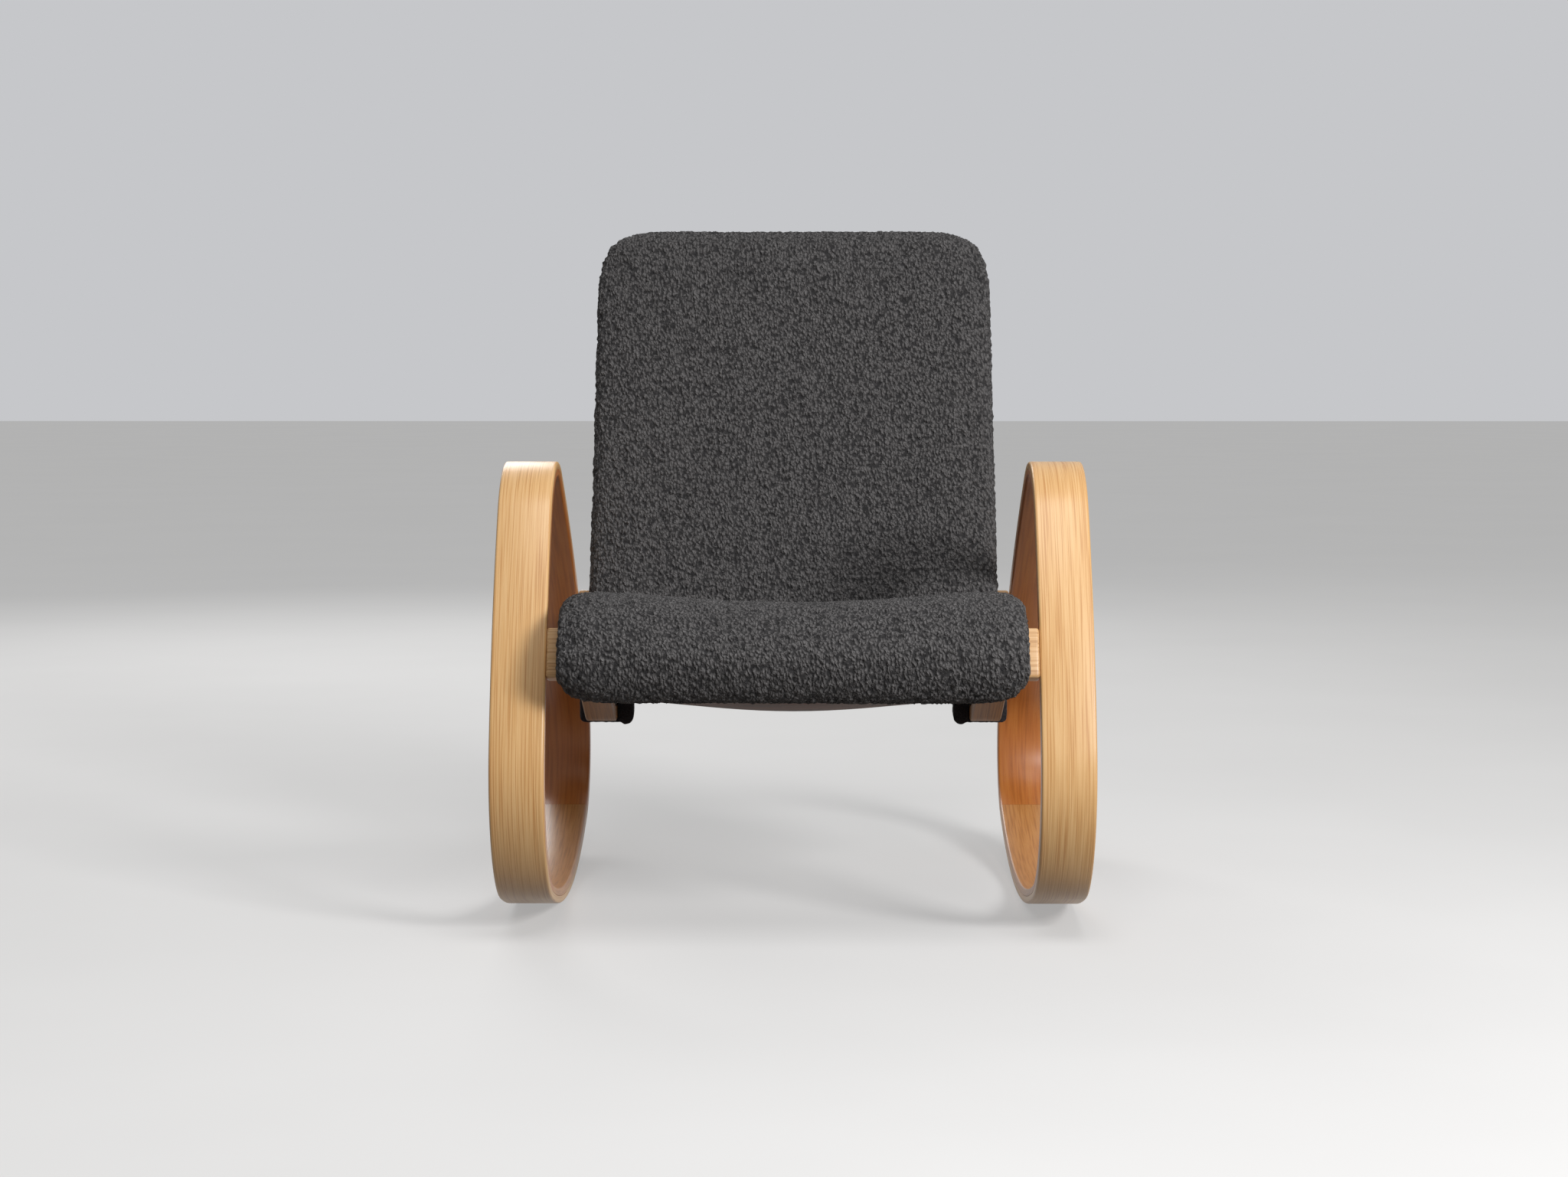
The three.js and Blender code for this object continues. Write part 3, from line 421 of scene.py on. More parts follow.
def wood(name, pale, middle, dark, ring, streak, stretch, rough, coat, coordinates="grain", slant_deg=0,
         fleck=0.0, ply_lines=False):
    """A wood with its finish. ring and streak are about half the spacing of the growth rings and of the finer
    streaks across the grain, and stretch is how much longer each of them is than it is wide."""
    material, tree = new_material(name)
    if coordinates == "grain":
        source = add_node(tree, "ShaderNodeAttribute", attribute_name="grain").outputs["Vector"]
    else:
        source = add_node(tree, "ShaderNodeTexCoord").outputs["Object"]
    turned = add_node(tree, "ShaderNodeMapping", {
        "Vector": source, "Rotation": (0, 0, math.radians(slant_deg)), "Scale": (1 / stretch, 1, 1),
    }).outputs[0]
    sway = add_node(tree, "ShaderNodeTexNoise",
                    {"Vector": turned, "Scale": 1 / (SWAY_SPREAD * ring), "Detail": 2})
    rings = add_node(tree, "ShaderNodeTexNoise",
                     {"Vector": turned, "Scale": 1 / ring, "Detail": 1, "Distortion": RING_WOBBLE})
    streaks = add_node(tree, "ShaderNodeTexNoise",
                       {"Vector": turned, "Scale": 1 / streak, "Detail": 3, "Roughness": STREAK_ROUGHNESS})
    lines = remap(tree, rings.outputs["Fac"], RING_SPAN, interpolation_type="SMOOTHSTEP")
    blend = add_node(tree, "ShaderNodeMath", {0: lines, 1: streaks.outputs["Fac"]}, operation="ADD")
    swayed = add_node(tree, "ShaderNodeMath", {0: sway.outputs["Fac"], 1: SWAY_WEIGHT, 2: blend.outputs[0]},
                      operation="MULTIPLY_ADD")
    tone = add_node(tree, "ShaderNodeValToRGB", {"Fac": remap(tree, swayed.outputs[0], TONE_SPAN)},
                    stops=[(0.0, dark), (1.0, pale), (MIDDLE_STOP, middle)])
    pores = add_node(tree, "ShaderNodeTexNoise",
                     {"Vector": turned, "Scale": PORE_FINENESS / streak, "Detail": 1})
    pits = remap(tree, pores.outputs["Fac"], PORE_SPAN, (0, PORE_DARK + fleck))
    colour = add_node(tree, "ShaderNodeMix", {0: pits, 6: tone.outputs[0], 7: linear(dark)},
                      data_type="RGBA").outputs[2]
    if ply_lines:
        parts = add_node(tree, "ShaderNodeSeparateXYZ", {"Vector": source})
        plies = add_node(tree, "ShaderNodeMath", {0: parts.outputs["Z"], 1: 1 / VENEER}, operation="MULTIPLY")
        half = add_node(tree, "ShaderNodeMath", {0: plies.outputs[0], 1: 0.5}, operation="ADD")
        saw = add_node(tree, "ShaderNodeMath", {0: half.outputs[0], 1: 1.0}, operation="PINGPONG")
        line = remap(tree, saw.outputs[0], (0, VENEER_LINE), (VENEER_LINE_DARK, 0))
        colour = add_node(tree, "ShaderNodeMix", {0: line, 6: colour, 7: linear(dark)},
                          data_type="RGBA").outputs[2]
    shine = remap(tree, streaks.outputs["Fac"], (0, 1), (rough - SHINE_SWING, rough + SHINE_SWING))
    relief = add_node(tree, "ShaderNodeBump",
                      {"Height": pits, "Strength": PORE_RELIEF, "Distance": PORE_DEPTH}, invert=True)
    lacquer = add_node(tree, "ShaderNodeBsdfPrincipled", {
        "Base Color": colour, "Roughness": shine, "IOR": LACQUER_IOR, "Coat Weight": coat,
        "Coat Roughness": COAT_ROUGHNESS, "Normal": relief.outputs[0],
    })
    finish_material(tree, lacquer)
    return material


# Satin lacquered ash, bent: straight growth rings about 3 mm apart run along the band as fine darker lines,
# with open pores between them, and the veneers' glue lines show on the band's edges
bent_ash = wood("bent_ash_satin_lacquer", "#E1B780", "#D7A86D", "#BC854B", ring=1.4 * MM, streak=0.7 * MM,
                stretch=90, rough=0.42, coat=0.25, ply_lines=True)
# Beech lining, steam bent and stained orange-tan: an even, close grain with short dark flecks
beech_lining = wood("steam_bent_beech", "#C47B39", "#BD7030", "#A86127", ring=4 * MM, streak=1.1 * MM,
                    stretch=25, rough=0.4, coat=0.25, fleck=0.1)
# The rocker's own length of lining is a lighter board whose grain runs off at a slant
rocker_lining = wood("rocker_lining_beech", "#C98F52", "#C08345", "#A66C34", ring=2.5 * MM, streak=1 * MM,
                     stretch=28, rough=0.42, coat=0.25, slant_deg=9, fleck=0.15)

# The outline is moved so that the round rocker's lowest line lies under the middle of the flat facet that the
# CAD loops stand on, with both ends of the facet on the curve
loop_low, loop_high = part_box("loop_left_outer_lamination")
loop_x = abs(loop_low.x + loop_high.x) / 2
facet = [vertex.co.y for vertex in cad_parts["loop_left_outer_lamination"].data.vertices
         if vertex.co.z < MERGE]
tread_radius = ROCKER_RADIUS + INNER_PLY + OUTER_PLY
rocker_dip = tread_radius - math.sqrt(tread_radius ** 2 - ((max(facet) - min(facet)) / 2) ** 2)
chair_shift = Vector((0, (max(facet) + min(facet)) / 2 - rocker_centre.x,
                      tread_radius - rocker_dip - rocker_centre.y))


def trimmed(path, gap):
    """The same path, a little short at both ends."""
    first, last = path[0], path[-1]
    cut = gap / 2
    if len(path) == 1:
        return [Bend(first.centre, first.radius, first.bearing + cut / first.radius,
                     first.turn - gap / first.radius)]
    opened = Bend(first.centre, first.radius, first.bearing + cut / first.radius,
                  first.turn - cut / first.radius)
    closed = Bend(last.centre, last.radius, last.bearing, last.turn - cut / last.radius)
    return [opened, *path[1:-1], closed]


band = bent_strip("loop_band", upper_path + [rocker_bow], -(INNER_PLY + OUTER_PLY / 2), LOOP_WIDTH, OUTER_PLY,
                  (RIM_EASE, INNER_EASE), closed=True)
lining_thickness = INNER_PLY - GLUE_LINE
upper = bent_strip("upper_lining", trimmed(upper_path, SCARF_GAP), -lining_thickness / 2, LOOP_WIDTH,
                   lining_thickness, (INNER_EASE, RIM_EASE))
rocker = bent_strip("rocker_lining", trimmed([rocker_bow], SCARF_GAP), -lining_thickness / 2, LOOP_WIDTH,
                    lining_thickness, (INNER_EASE, RIM_EASE))
for side, way in (("left", -1), ("right", 1)):
    shift = chair_shift + Vector((way * loop_x, 0, 0))
    for piece, part, material, slot in (
        (band, "outer_lamination", bent_ash, "ash_laminate"),
        (upper, "upper_lining", beech_lining, "beech_lining"),
        (rocker, "rocker_lining", rocker_lining, "beech_lining"),
    ):
        place_copy(piece, f"bent_loop_{side}_{part}", shift, material, [f"loop_{side}_{part}"],
                   grain_shift=(way + 1) * GRAIN_APART / 2)
for piece in (band, upper, rocker):
    bpy.data.objects.remove(piece)

# The seat frame's two members: ash strips, each bent in one piece from the front roll, along the seat and up
# the back. They are let into the cross-rails and screwed to them. From the front only short stubs show.
MEMBER_WIDTH = 37 * MM
MEMBER_THICKNESS = 19 * MM
MEMBER_EASE = 2 * MM
MEMBER_X = (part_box("seat_frame_member_right")[0].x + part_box("seat_frame_member_right")[1].x) / 2
FRONT_ROLL_RADIUS = 50 * MM
FRONT_ROLL_END_DEG = 70
SEAT_SLOPE_DEG = 25
SEAT_RUN = 290 * MM
BEND_RADIUS = 100 * MM
BACK_LEAN_DEG = 26
BACK_RUN = 588 * MM
MEMBER_TOP_GAP = 14 * MM
MEMBER_GRAIN_APART = 2
RAIL_HEIGHT = 59 * MM
FRONT_RAIL_LEVEL = 329 * MM
FRONT_NOTCH = 9 * MM


def on_bow(bow, angle):
    """A rail's place in the band of a loop: its middle, and the way up it."""
    outward = Vector((math.cos(angle), math.sin(angle)))
    return bow.centre + outward * (bow.radius + INNER_PLY), Vector((outward.y, -outward.x))


front_rise = (FRONT_RAIL_LEVEL - front_bow.centre.y) / (FRONT_BOW_RADIUS + INNER_PLY)
front_rail_middle, front_rail_up = on_bow(front_bow, math.pi - math.asin(front_rise))
rail_top = front_rail_middle + front_rail_up * RAIL_HEIGHT / 2
crest = rail_top + Vector((0, MEMBER_THICKNESS / 2 - FRONT_NOTCH))
roll_centre = crest - Vector((0, FRONT_ROLL_RADIUS))
seat_heading = -math.radians(SEAT_SLOPE_DEG)
back_heading = math.radians(90 - BACK_LEAN_DEG)
roll = Bend(roll_centre, FRONT_ROLL_RADIUS, math.radians(FRONT_ROLL_END_DEG) + math.pi / 2,
            -math.radians(FRONT_ROLL_END_DEG + SEAT_SLOPE_DEG))


def heading_step(heading, length):
    return Vector((math.cos(heading), math.sin(heading))) * length


seat_start = roll_centre + heading_step(seat_heading + math.pi / 2, FRONT_ROLL_RADIUS)
seat_run = Run(seat_start, seat_heading, SEAT_RUN)
bend_start = seat_start + heading_step(seat_heading, SEAT_RUN)
bend_centre = bend_start + heading_step(seat_heading + math.pi / 2, BEND_RADIUS)
seat_bend = Bend(bend_centre, BEND_RADIUS, seat_heading - math.pi / 2, back_heading - seat_heading)
back_start = bend_centre + heading_step(back_heading - math.pi / 2, BEND_RADIUS)
back_run = Run(back_start, back_heading, BACK_RUN)
member_path = [roll, seat_run, seat_bend, back_run]
# The wood stops a little short of the line's end, where the cover folds over
wood_path = [*member_path[:-1], Run(back_start, back_heading, BACK_RUN - MEMBER_TOP_GAP)]

# Oiled ash strips with the same straight grain and less gloss, coloured darker than the loops as painted
# shade, for the stubs that show only in the shade under the seat
frame_ash = wood("frame_ash_oiled_painted_shade", "#9A6A36", "#875A2C", "#62401F", ring=2 * MM, streak=0.8 * MM, stretch=60,
                 rough=0.55, coat=0.0, ply_lines=True)
member = bent_strip("frame_member", wood_path, 0, MEMBER_WIDTH, MEMBER_THICKNESS, (MEMBER_EASE, MEMBER_EASE))
for side, way in (("left", -1), ("right", 1)):
    place_copy(member, f"bent_member_{side}", chair_shift + Vector((way * MEMBER_X, 0, 0)), frame_ash,
               [f"seat_frame_member_{side}"], grain_shift=(way + 1) * MEMBER_GRAIN_APART / 2)
bpy.data.objects.remove(member)

# The cross-rails: two straight ash boards, dowelled between the loops in the middle of the bands' thickness.
# Their edges are rounded over, and each is notched where the two members cross it.
RAIL_THICKNESS = 20 * MM
RAIL_ROUND = 3.5 * MM
RAIL_ROUND_STEPS = 4
NOTCH_SPARE = 0.3 * MM


def rail_board(name, up):
    """A board as long as its CAD node, turned so that its height runs up the band, with rounded edges."""
    low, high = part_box(name)
    bpy.ops.object.select_all(action="DESELECT")
    bpy.ops.mesh.primitive_cube_add(size=1, location=(low + high) / 2)
    board = bpy.context.object
    board.rotation_euler = (math.atan2(-up.x, up.y), 0, 0)
    board.scale = (high.x - low.x, RAIL_THICKNESS, RAIL_HEIGHT)
    bpy.ops.object.transform_apply(location=True, rotation=True, scale=True)
    bpy.ops.object.mode_set(mode="EDIT")
    bpy.ops.mesh.select_all(action="SELECT")
    bpy.ops.mesh.bevel(offset=RAIL_ROUND, offset_type="OFFSET", segments=RAIL_ROUND_STEPS, affect="EDGES")
    bpy.ops.object.mode_set(mode="OBJECT")
    return board


# Clear lacquered ash board, quarter sawn: straight pale grain along the rail
rail_ash = wood("rail_ash_lacquered", "#D8B181", "#CCA06B", "#AA7A47", ring=2 * MM, streak=0.8 * MM,
                stretch=60, rough=0.45, coat=0.2, coordinates="object")
low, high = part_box("rear_cross_rail")
rear_middle = Vector(((low.y + high.y) / 2 - chair_shift.y, (low.z + high.z) / 2 - chair_shift.z))
rear_angle = bearing(arm_bow_centre, rear_middle)
rear_rail_up = on_bow(arm_bow, rear_angle)[1]
for name, up in (("front_cross_rail", front_rail_up), ("rear_cross_rail", rear_rail_up)):
    board = rail_board(name, up)
    board.name = f"ash_{name}"
    for way in (-1, 1):
        cutter = bent_strip("notch_cutter", member_path, 0, MEMBER_WIDTH + 2 * NOTCH_SPARE,
                            MEMBER_THICKNESS + 2 * NOTCH_SPARE, (MEMBER_EASE, MEMBER_EASE))
        cutter.data.transform(Matrix.Translation(chair_shift + Vector((way * MEMBER_X, 0, 0))))
        apply_modifier(board, "BOOLEAN", operation="DIFFERENCE", solver="EXACT", object=cutter)
        bpy.data.objects.remove(cutter)
    bpy.ops.object.select_all(action="DESELECT")
    board.select_set(True)
    bpy.ops.object.shade_smooth_by_angle(angle=math.radians(SMOOTH_DEG))
    board.data.materials.append(rail_ash)
    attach(board, "root")
    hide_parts(name)

# Dowels and screws: beech pins in the rail ends, and countersunk steel screws in the members and slats.
# All of them are sunk in the wood or under the cover, so the CAD pieces stay and only get their finish.
# Turned beech pins: dry and pale, with end grain too fine to see
pin_beech = wood("dowel_beech_turned", "#D6B483", "#C9A472", "#A98353", ring=3 * MM, streak=1 * MM,
                 stretch=15, rough=0.7, coat=0.0, coordinates="object")
# Zinc plated steel: slightly cloudy grey, half dull
ZINC_CLOUD = 2.5 * MM
ZINC_ROUGHNESS = (0.28, 0.44)
screw_zinc, tree = new_material("screw_zinc_plated")
place = add_node(tree, "ShaderNodeTexCoord")
cloud = add_node(tree, "ShaderNodeTexNoise",
                 {"Vector": place.outputs["Object"], "Scale": 1 / ZINC_CLOUD, "Detail": 2})
tone = add_node(tree, "ShaderNodeValToRGB", {"Fac": cloud.outputs["Fac"]},
                stops=[(0.3, "#8E9091"), (0.7, "#A7A8A6")])
zinc = add_node(tree, "ShaderNodeBsdfPrincipled",
                {"Base Color": tone.outputs[0], "Metallic": 1.0,
                 "Roughness": remap(tree, cloud.outputs["Fac"], (0, 1), ZINC_ROUGHNESS)})
finish_material(tree, zinc)
for name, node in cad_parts.items():
    finish = pin_beech if name.endswith("_dowel") else screw_zinc if "_screw" in name else None
    if finish:
        node.data.materials.clear()
        node.data.materials.append(finish)

# The slats: nine thin strips across the members, flat where they rest and dished between them.
# They carry the cover, and the lower edge of one shows in the shade under the seat; their deep brown is
# painted shade.
SLAT_WIDTH = 52 * MM
SLAT_THICKNESS = 8 * MM
SLAT_SAG = 14 * MM
SLAT_CUTS = 23
SLAT_ROUND = 1.8 * MM
SLAT_ROUND_STEPS = 3
SLAT_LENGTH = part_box("seat_slat_1")[1].x * 2
free_half = MEMBER_X - MEMBER_WIDTH / 2
bpy.ops.object.select_all(action="DESELECT")
bpy.ops.mesh.primitive_cube_add(size=1)
slat = bpy.context.object
slat.scale = (SLAT_LENGTH, SLAT_WIDTH, SLAT_THICKNESS)
bpy.ops.object.transform_apply(location=True, rotation=True, scale=True)
bpy.ops.object.mode_set(mode="EDIT")
mesh = bmesh.from_edit_mesh(slat.data)
lengthwise = [edge for edge in mesh.edges if abs(edge.verts[0].co.x - edge.verts[1].co.x) > SLAT_LENGTH / 2]
bmesh.ops.subdivide_edges(mesh, edges=lengthwise, cuts=SLAT_CUTS, use_grid_fill=True)
for vertex in mesh.verts:
    if abs(vertex.co.x) < free_half:
        vertex.co.z -= SLAT_SAG * (1 - (vertex.co.x / free_half) ** 2) ** 2
bmesh.update_edit_mesh(slat.data)
bpy.ops.object.mode_set(mode="OBJECT")
apply_modifier(slat, "BEVEL", width=SLAT_ROUND, segments=SLAT_ROUND_STEPS, limit_method="ANGLE")
bpy.ops.object.shade_smooth_by_angle(angle=math.radians(SMOOTH_DEG))

# Beech coloured deep brown as painted shade, with the grain just showing and a dull wax finish
slat_beech = wood("slat_beech_painted_shade", "#5C3722", "#482B18", "#2D1A0D", ring=3 * MM, streak=1 * MM,
                  stretch=30, rough=0.55, coat=0.0, coordinates="object", fleck=0.2)
for name in [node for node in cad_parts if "_slat_" in node and "_screw" not in node]:
    low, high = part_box(name)
    tilt = -math.radians(SEAT_SLOPE_DEG) if name.startswith("seat") else math.radians(90 - BACK_LEAN_DEG)
    copy = new_object(f"dished_{name}", slat.data.copy())
    copy.data.transform(Matrix.Rotation(tilt, 4, "X"))
    corners = [vertex.co for vertex in copy.data.vertices]
    middle = Vector([(min(c[k] for c in corners) + max(c[k] for c in corners)) / 2 for k in range(3)])
    copy.data.transform(Matrix.Translation((low + high) / 2 - middle))
    copy.data.materials.append(slat_beech)
    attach(copy, "root")
    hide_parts(name)
bpy.data.objects.remove(slat)

# The cover: foam under looped wool cloth, one pad on the seat and one up the back, rounded at every edge.
# The seat pad rolls over the front rail and tucks under it. The back pad folds over the top of the members.
PAD_SHRINK = 1.2 * MM
PAD_WIDEN = 1.018
VOXEL = 5 * MM
SMOOTH_PAIRS = 6
SMOOTH_FACTORS = (0.5, -0.52)
# The swelling: how far a point may move, the push of the air inside, its steps, and the height over the
# members below which the cloth is held
SWELL_CAP = 2 * MM
PRESSURE = 4
SIM_FRAMES = 20
UNDERSIDE = 27 * MM
# The sat-on hollow: its depth all over, what the middle adds and how far that reaches, the heights over the
# members between which it comes in, and how far up a face has to look for it
SINK_ALL = 3 * MM
SINK_MIDDLE = 6 * MM
SINK_REACH = 190 * MM
SINK_SPAN = (20 * MM, 32 * MM)
SINK_FACING = (0.2, 0.8)
# The draped edges: how far they hang, how far on each side of the slats' ends that comes in, the heights over
# the members where it fades, and the height below which nothing hangs
DRAPE = 7 * MM
DRAPE_START = 4 * MM
DRAPE_FADE = (22 * MM, 36 * MM)
DRAPE_FLOOR = 11 * MM
# The pile's curls: ridges this far apart and this high about a middle level, warped, with beads along them,
# and the broad lumps of the foam under them
CURL = 6.5 * MM
CURL_HEIGHT = 2.6 * MM
CURL_LEVEL = 0.45
WARP_SIZE = 1.4 * CURL
WARP_REACH = 0.5 * CURL
BEAD_SIZE = 0.6 * CURL
RIDGE_WEIGHT = 0.75
BEAD_WEIGHT = 0.6
LOOP_DROOP = 0.55
LUMP = 45 * MM
LUMP_HEIGHT = 0.8 * MM
# The warp comes from vector noise, which is drawn anew for each run unless it gets a seed
PILE_SEED = 7
noise.seed_set(PILE_SEED)


def merged_copy(name, node):
    """A copy of a CAD node with its own mesh, its doubled vertices merged."""
    copy = new_object(name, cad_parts[node].data.copy())
    bpy.ops.object.select_all(action="DESELECT")
    bpy.context.view_layer.objects.active = copy
    copy.select_set(True)
    bpy.ops.object.mode_set(mode="EDIT")
    bpy.ops.mesh.select_all(action="SELECT")
    bpy.ops.mesh.remove_doubles(threshold=MERGE)
    bpy.ops.object.mode_set(mode="OBJECT")
    return copy


def push_out(piece, distance):
    """Moves each vertex along its normal by a distance that is worked out from its place and its normal."""
    normals = [vertex.normal.copy() for vertex in piece.data.vertices]
    for vertex, normal in zip(piece.data.vertices, normals):
        vertex.co += normal * distance(vertex.co, normal)


def pad_copy(name, node):
    """A merged copy of a pad's CAD solid, remeshed evenly, smoothed, and shrunk a little to leave it room to
    swell. It starts wider than it ends, because the cloth draws in at the sides as it swells."""
    pad = merged_copy(name, node)
    pad.data.transform(Matrix.Diagonal((PAD_WIDEN, 1, 1, 1)))
    apply_modifier(pad, "REMESH", mode="VOXEL", voxel_size=VOXEL)
    for factor in SMOOTH_FACTORS * SMOOTH_PAIRS:
        apply_modifier(pad, "SMOOTH", factor=factor, iterations=1)
    push_out(pad, lambda place, normal: -PAD_SHRINK)
    return pad


def over_member(place):
    """How far a point lies from the members' centre line on the sitter's side, and where that side is."""
    point = Vector((place.y - chair_shift.y, place.z - chair_shift.z))
    stretch = find_stretch(member_path, point)[0]
    height = reach_in(stretch, point)[1]
    if isinstance(stretch, Run):
        away = Vector((0, -math.sin(stretch.heading), math.cos(stretch.heading)))
    else:
        arm = (point - stretch.centre).normalized() * -math.copysign(1, stretch.turn)
        away = Vector((0, arm.x, arm.y))
    return height, away


def share_of(value, start, full):
    """0 up to a start, 1 from a full value on, and a smooth rise between them."""
    share = min(1, max(0, (value - start) / (full - start)))
    return share * share * (3 - 2 * share)


def swell(pad):
    """Blows the pad up against its held underside, and caps how far any point moves."""
    held = pad.vertex_groups.new(name="held")
    held.add([vertex.index for vertex in pad.data.vertices
              if over_member(vertex.co)[0] < UNDERSIDE], 1, "REPLACE")
    before = [vertex.co.copy() for vertex in pad.data.vertices]
    cloth = pad.modifiers.new("cloth", "CLOTH")
    cloth.settings.use_pressure = True
    cloth.settings.uniform_pressure_force = PRESSURE
    cloth.settings.effector_weights.gravity = 0
    cloth.settings.vertex_group_mass = held.name
    cloth.point_cache.frame_start = 1
    cloth.point_cache.frame_end = SIM_FRAMES
    for step in range(1, SIM_FRAMES + 1):
        bpy.context.scene.frame_set(step)
    bpy.ops.object.modifier_apply(modifier=cloth.name)
    for vertex, start in zip(pad.data.vertices, before):
        move = vertex.co - start
        if move.length > SWELL_CAP:
            vertex.co = start + move * (SWELL_CAP / move.length)
    pad.vertex_groups.clear()
    bpy.context.scene.frame_set(1)


def sink_middle(pad):
    """Lets the sat-on top of a pad sink, most in the middle, where the slats under it are dished."""
    def sink_at(place, normal):
        facing = share_of(normal.z, *SINK_FACING) * share_of(over_member(place)[0], *SINK_SPAN)
        middle = max(0, 1 - (place.x / SINK_REACH) ** 2)
        return -facing * (SINK_ALL + SINK_MIDDLE * middle)
    push_out(pad, sink_at)


def drape_edges(pad):
    """Lets the cloth hang past the ends of the slats, nearly down to the members, to keep the light out."""
    for vertex in pad.data.vertices:
        height, away = over_member(vertex.co)
        past = share_of(abs(vertex.co.x), SLAT_LENGTH / 2 - DRAPE_START, SLAT_LENGTH / 2 + DRAPE_START)
        low = 1 - share_of(height, *DRAPE_FADE)
        vertex.co -= away * min(DRAPE, max(0, height - DRAPE_FLOOR)) * past * low


def loop_pile(pad):
    """Raises the wool's curls: crooked ridges with pits between them, kept as an attribute for the painted
    shade in the colour.
    """
    apply_modifier(pad, "SUBSURF", levels=1, render_levels=1)
    mesh = pad.data
    curls = mesh.attributes.new("curl", "FLOAT", "POINT")
    normals = [vertex.normal.copy() for vertex in mesh.vertices]
    for vertex, normal in zip(mesh.vertices, normals):
        place = Vector((vertex.co.x, vertex.co.y, vertex.co.z * LOOP_DROOP))
        warp = noise.noise_vector(place / WARP_SIZE) * WARP_REACH
        ridge = 1 - 2 * abs(noise.noise((place + warp) / CURL))
        bead = noise.noise((place - warp) / BEAD_SIZE)
        height = RIDGE_WEIGHT * ridge + BEAD_WEIGHT * bead
        lump = noise.noise(vertex.co / LUMP)
        curls.data[vertex.index].value = height
        vertex.co += normal * ((height - CURL_LEVEL) * CURL_HEIGHT + lump * LUMP_HEIGHT)
    mesh.shade_smooth()


# Wool boucle: crimped loops in charcoal, with painted highlight on the loops' tops and painted shade, nearly
# black, in the creases between them. The loops are about 3.5 mm wide, hang a little downwards, and are spun
# from a yarn
# 1.2 mm thick. The pile scatters light at grazing angles.
YARN = 1.2 * MM
LOOP_SPACING = 3.5 * MM
LOOP_BEND = 3 * MM
LOOP_RELIEF = 5 * MM
LOOP_SOFTNESS = 0.25
# A loop is a dome that falls off over this span from its middle. The yarn and the mesh's own curls add to it
# with these weights, and the sum sets the colour over a span of its own: partly the yarn's own uneven tone,
# partly painted shade in the pits and painted highlight on the tops
DOME_SPAN = (0.1, 0.72)
YARN_WEIGHT = 0.45
CURL_WEIGHT = 0.2
PAINTED_SHADE_SPAN = (0.3, 1.3)
boucle, tree = new_material("wool_boucle_charcoal_painted_shade")
place = add_node(tree, "ShaderNodeTexCoord")
bend = add_node(tree, "ShaderNodeTexNoise",
                {"Vector": place.outputs["Object"], "Scale": 1 / (2 * LOOP_SPACING)})
bent = add_node(tree, "ShaderNodeVectorMath", {
    0: bend.outputs["Color"], 1: (2 * LOOP_BEND,) * 3, 2: place.outputs["Object"],
}, operation="MULTIPLY_ADD")
hung = add_node(tree, "ShaderNodeMapping", {"Vector": bent.outputs[0], "Scale": (1, 1, LOOP_DROOP)})
cells = add_node(tree, "ShaderNodeTexVoronoi", {
    "Vector": hung.outputs[0], "Scale": 1 / LOOP_SPACING, "Smoothness": LOOP_SOFTNESS,
}, feature="SMOOTH_F1")
domes = remap(tree, cells.outputs["Distance"], DOME_SPAN, (1, 0))
yarn = add_node(tree, "ShaderNodeTexNoise", {
    "Vector": place.outputs["Object"], "Scale": 1 / (2 * YARN), "Detail": 3, "Roughness": 0.7,
    "Distortion": 0.8,
})
loops = add_node(tree, "ShaderNodeMath", {0: yarn.outputs["Fac"], 1: YARN_WEIGHT, 2: domes},
                 operation="MULTIPLY_ADD")
curl = add_node(tree, "ShaderNodeAttribute", attribute_name="curl")
depth = add_node(tree, "ShaderNodeMath", {0: curl.outputs["Fac"], 1: CURL_WEIGHT, 2: loops.outputs[0]},
                 operation="MULTIPLY_ADD")
# Painted shade and highlight: the colour runs from near black in the pits to light grey on the loops' tops
tone = add_node(tree, "ShaderNodeValToRGB", {"Fac": remap(tree, depth.outputs[0], PAINTED_SHADE_SPAN)},
                stops=[(0.0, "#2B2A2B"), (1.0, "#757373"), (0.4, "#565454")])
pile = add_node(tree, "ShaderNodeBump",
                {"Height": loops.outputs[0], "Strength": 1.0, "Distance": LOOP_RELIEF})
wool = add_node(tree, "ShaderNodeBsdfPrincipled", {
    "Base Color": tone.outputs[0], "Roughness": 0.95, "Specular IOR Level": 0.2, "Sheen Weight": 0.3,
    "Sheen Roughness": 0.5, "Sheen Tint": linear("#9A9898"), "Normal": pile.outputs[0],
})
finish_material(tree, wool)

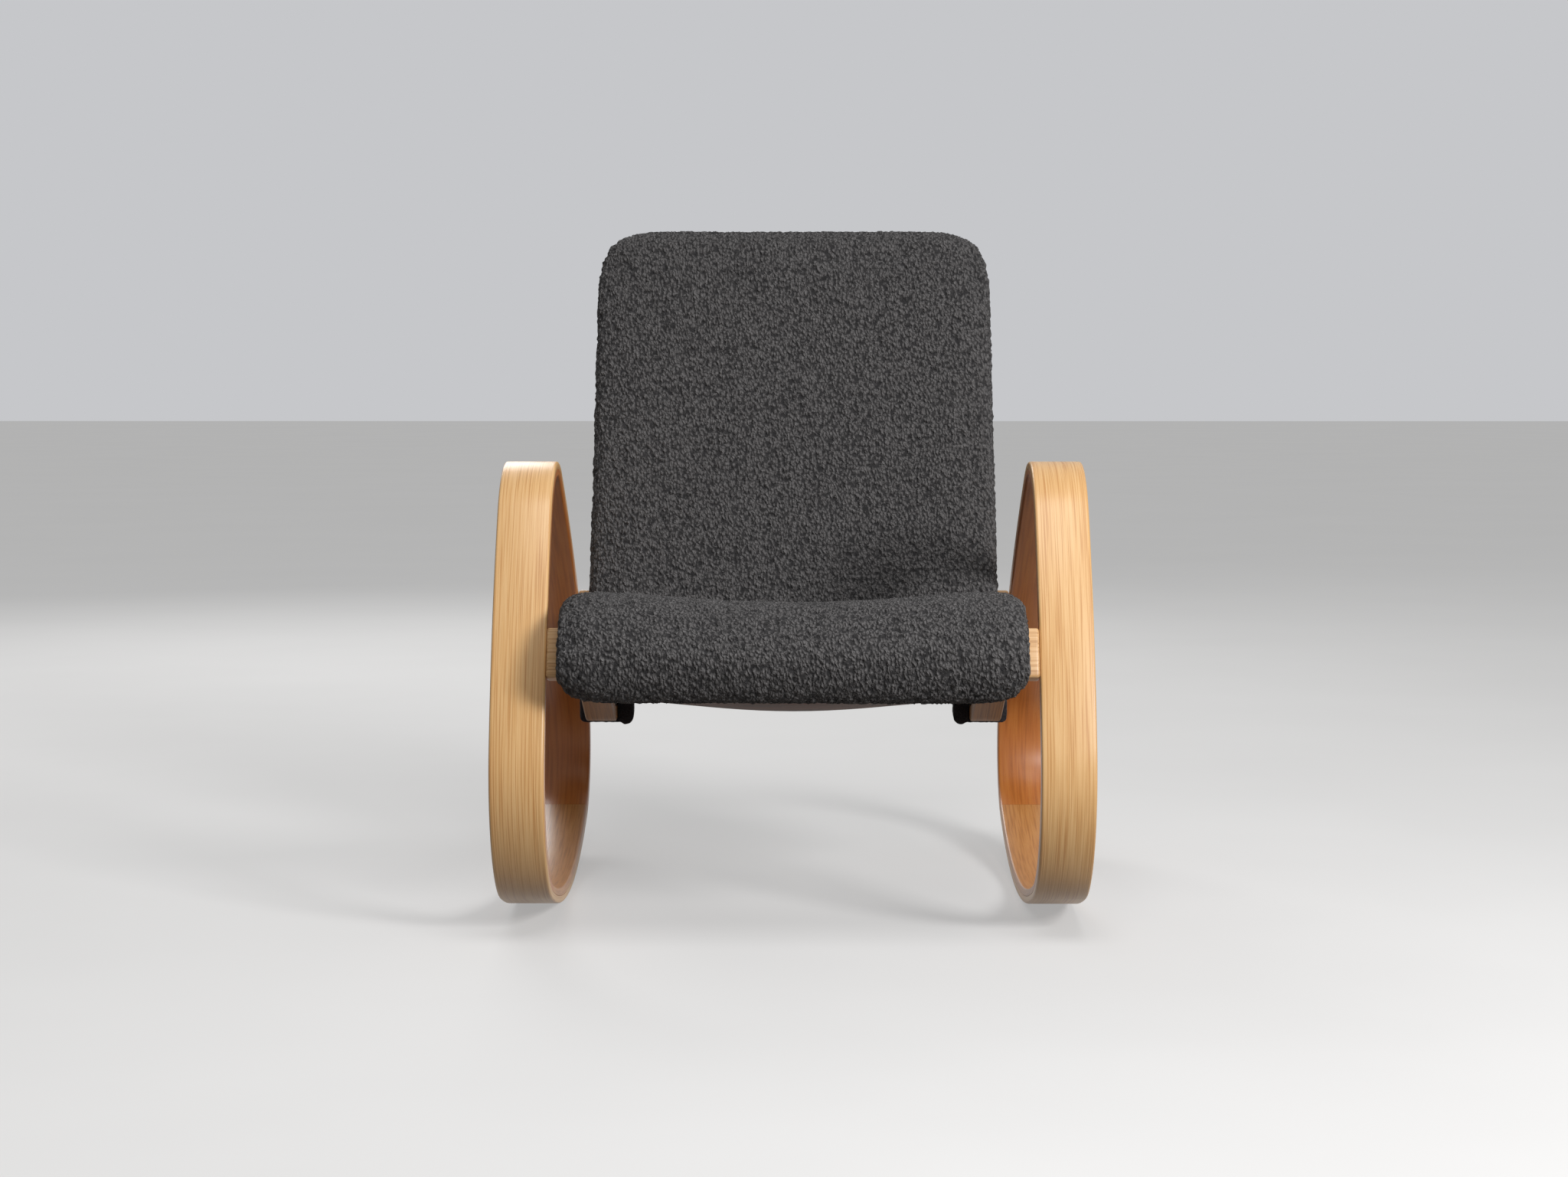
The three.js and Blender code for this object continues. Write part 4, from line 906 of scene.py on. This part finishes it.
for name, node in (("boucle_seat_pad", "seat_pad"), ("boucle_back_pad", "back_pad")):
    pad = pad_copy(name, node)
    swell(pad)
    if node == "seat_pad":
        sink_middle(pad)
    drape_edges(pad)
    loop_pile(pad)
    pad.data.materials.clear()
    pad.data.materials.append(boucle)
    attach(pad, "root")
    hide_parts(node)

# The straps: a cloth tab sewn to the cover passes round each member in the bend and holds the cover down.
# They are cut from the same wool, brushed flat, and show as two dark tongues beside each member.
STRAP_VOXEL = 1.5 * MM
STRAP_SMOOTHINGS = 12
STRAP_SMOOTH_FACTOR = 0.5
STRAP_FUZZ = 0.5 * MM
FUZZ_SIZE = 3 * YARN
NAP_RELIEF = 0.8 * MM
# Brushed wool felt: nearly black, with no loops and a soft dull nap
felt, tree = new_material("strap_wool_felt")
place = add_node(tree, "ShaderNodeTexCoord")
nap = add_node(tree, "ShaderNodeTexNoise", {
    "Vector": place.outputs["Object"], "Scale": 1 / (2 * YARN), "Detail": 4, "Roughness": 0.7,
})
tone = add_node(tree, "ShaderNodeValToRGB", {"Fac": nap.outputs["Fac"]},
                stops=[(0.3, "#1A191B"), (0.7, "#39373A")])
ruffle = add_node(tree, "ShaderNodeBump",
                  {"Height": nap.outputs["Fac"], "Strength": 0.7, "Distance": NAP_RELIEF})
flat_wool = add_node(tree, "ShaderNodeBsdfPrincipled", {
    "Base Color": tone.outputs[0], "Roughness": 0.95, "Specular IOR Level": 0.2, "Sheen Weight": 0.2,
    "Sheen Tint": linear("#6E6C6F"), "Normal": ruffle.outputs[0],
})
finish_material(tree, flat_wool)
for side in ("left", "right"):
    strap = merged_copy(f"felt_strap_{side}", f"cover_strap_{side}")
    apply_modifier(strap, "REMESH", mode="VOXEL", voxel_size=STRAP_VOXEL)
    apply_modifier(strap, "SMOOTH", factor=STRAP_SMOOTH_FACTOR, iterations=STRAP_SMOOTHINGS)
    push_out(strap, lambda place, normal: noise.noise(place / FUZZ_SIZE) * STRAP_FUZZ)
    strap.data.shade_smooth()
    strap.data.materials.clear()
    strap.data.materials.append(felt)
    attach(strap, "root")
    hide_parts(f"cover_strap_{side}")
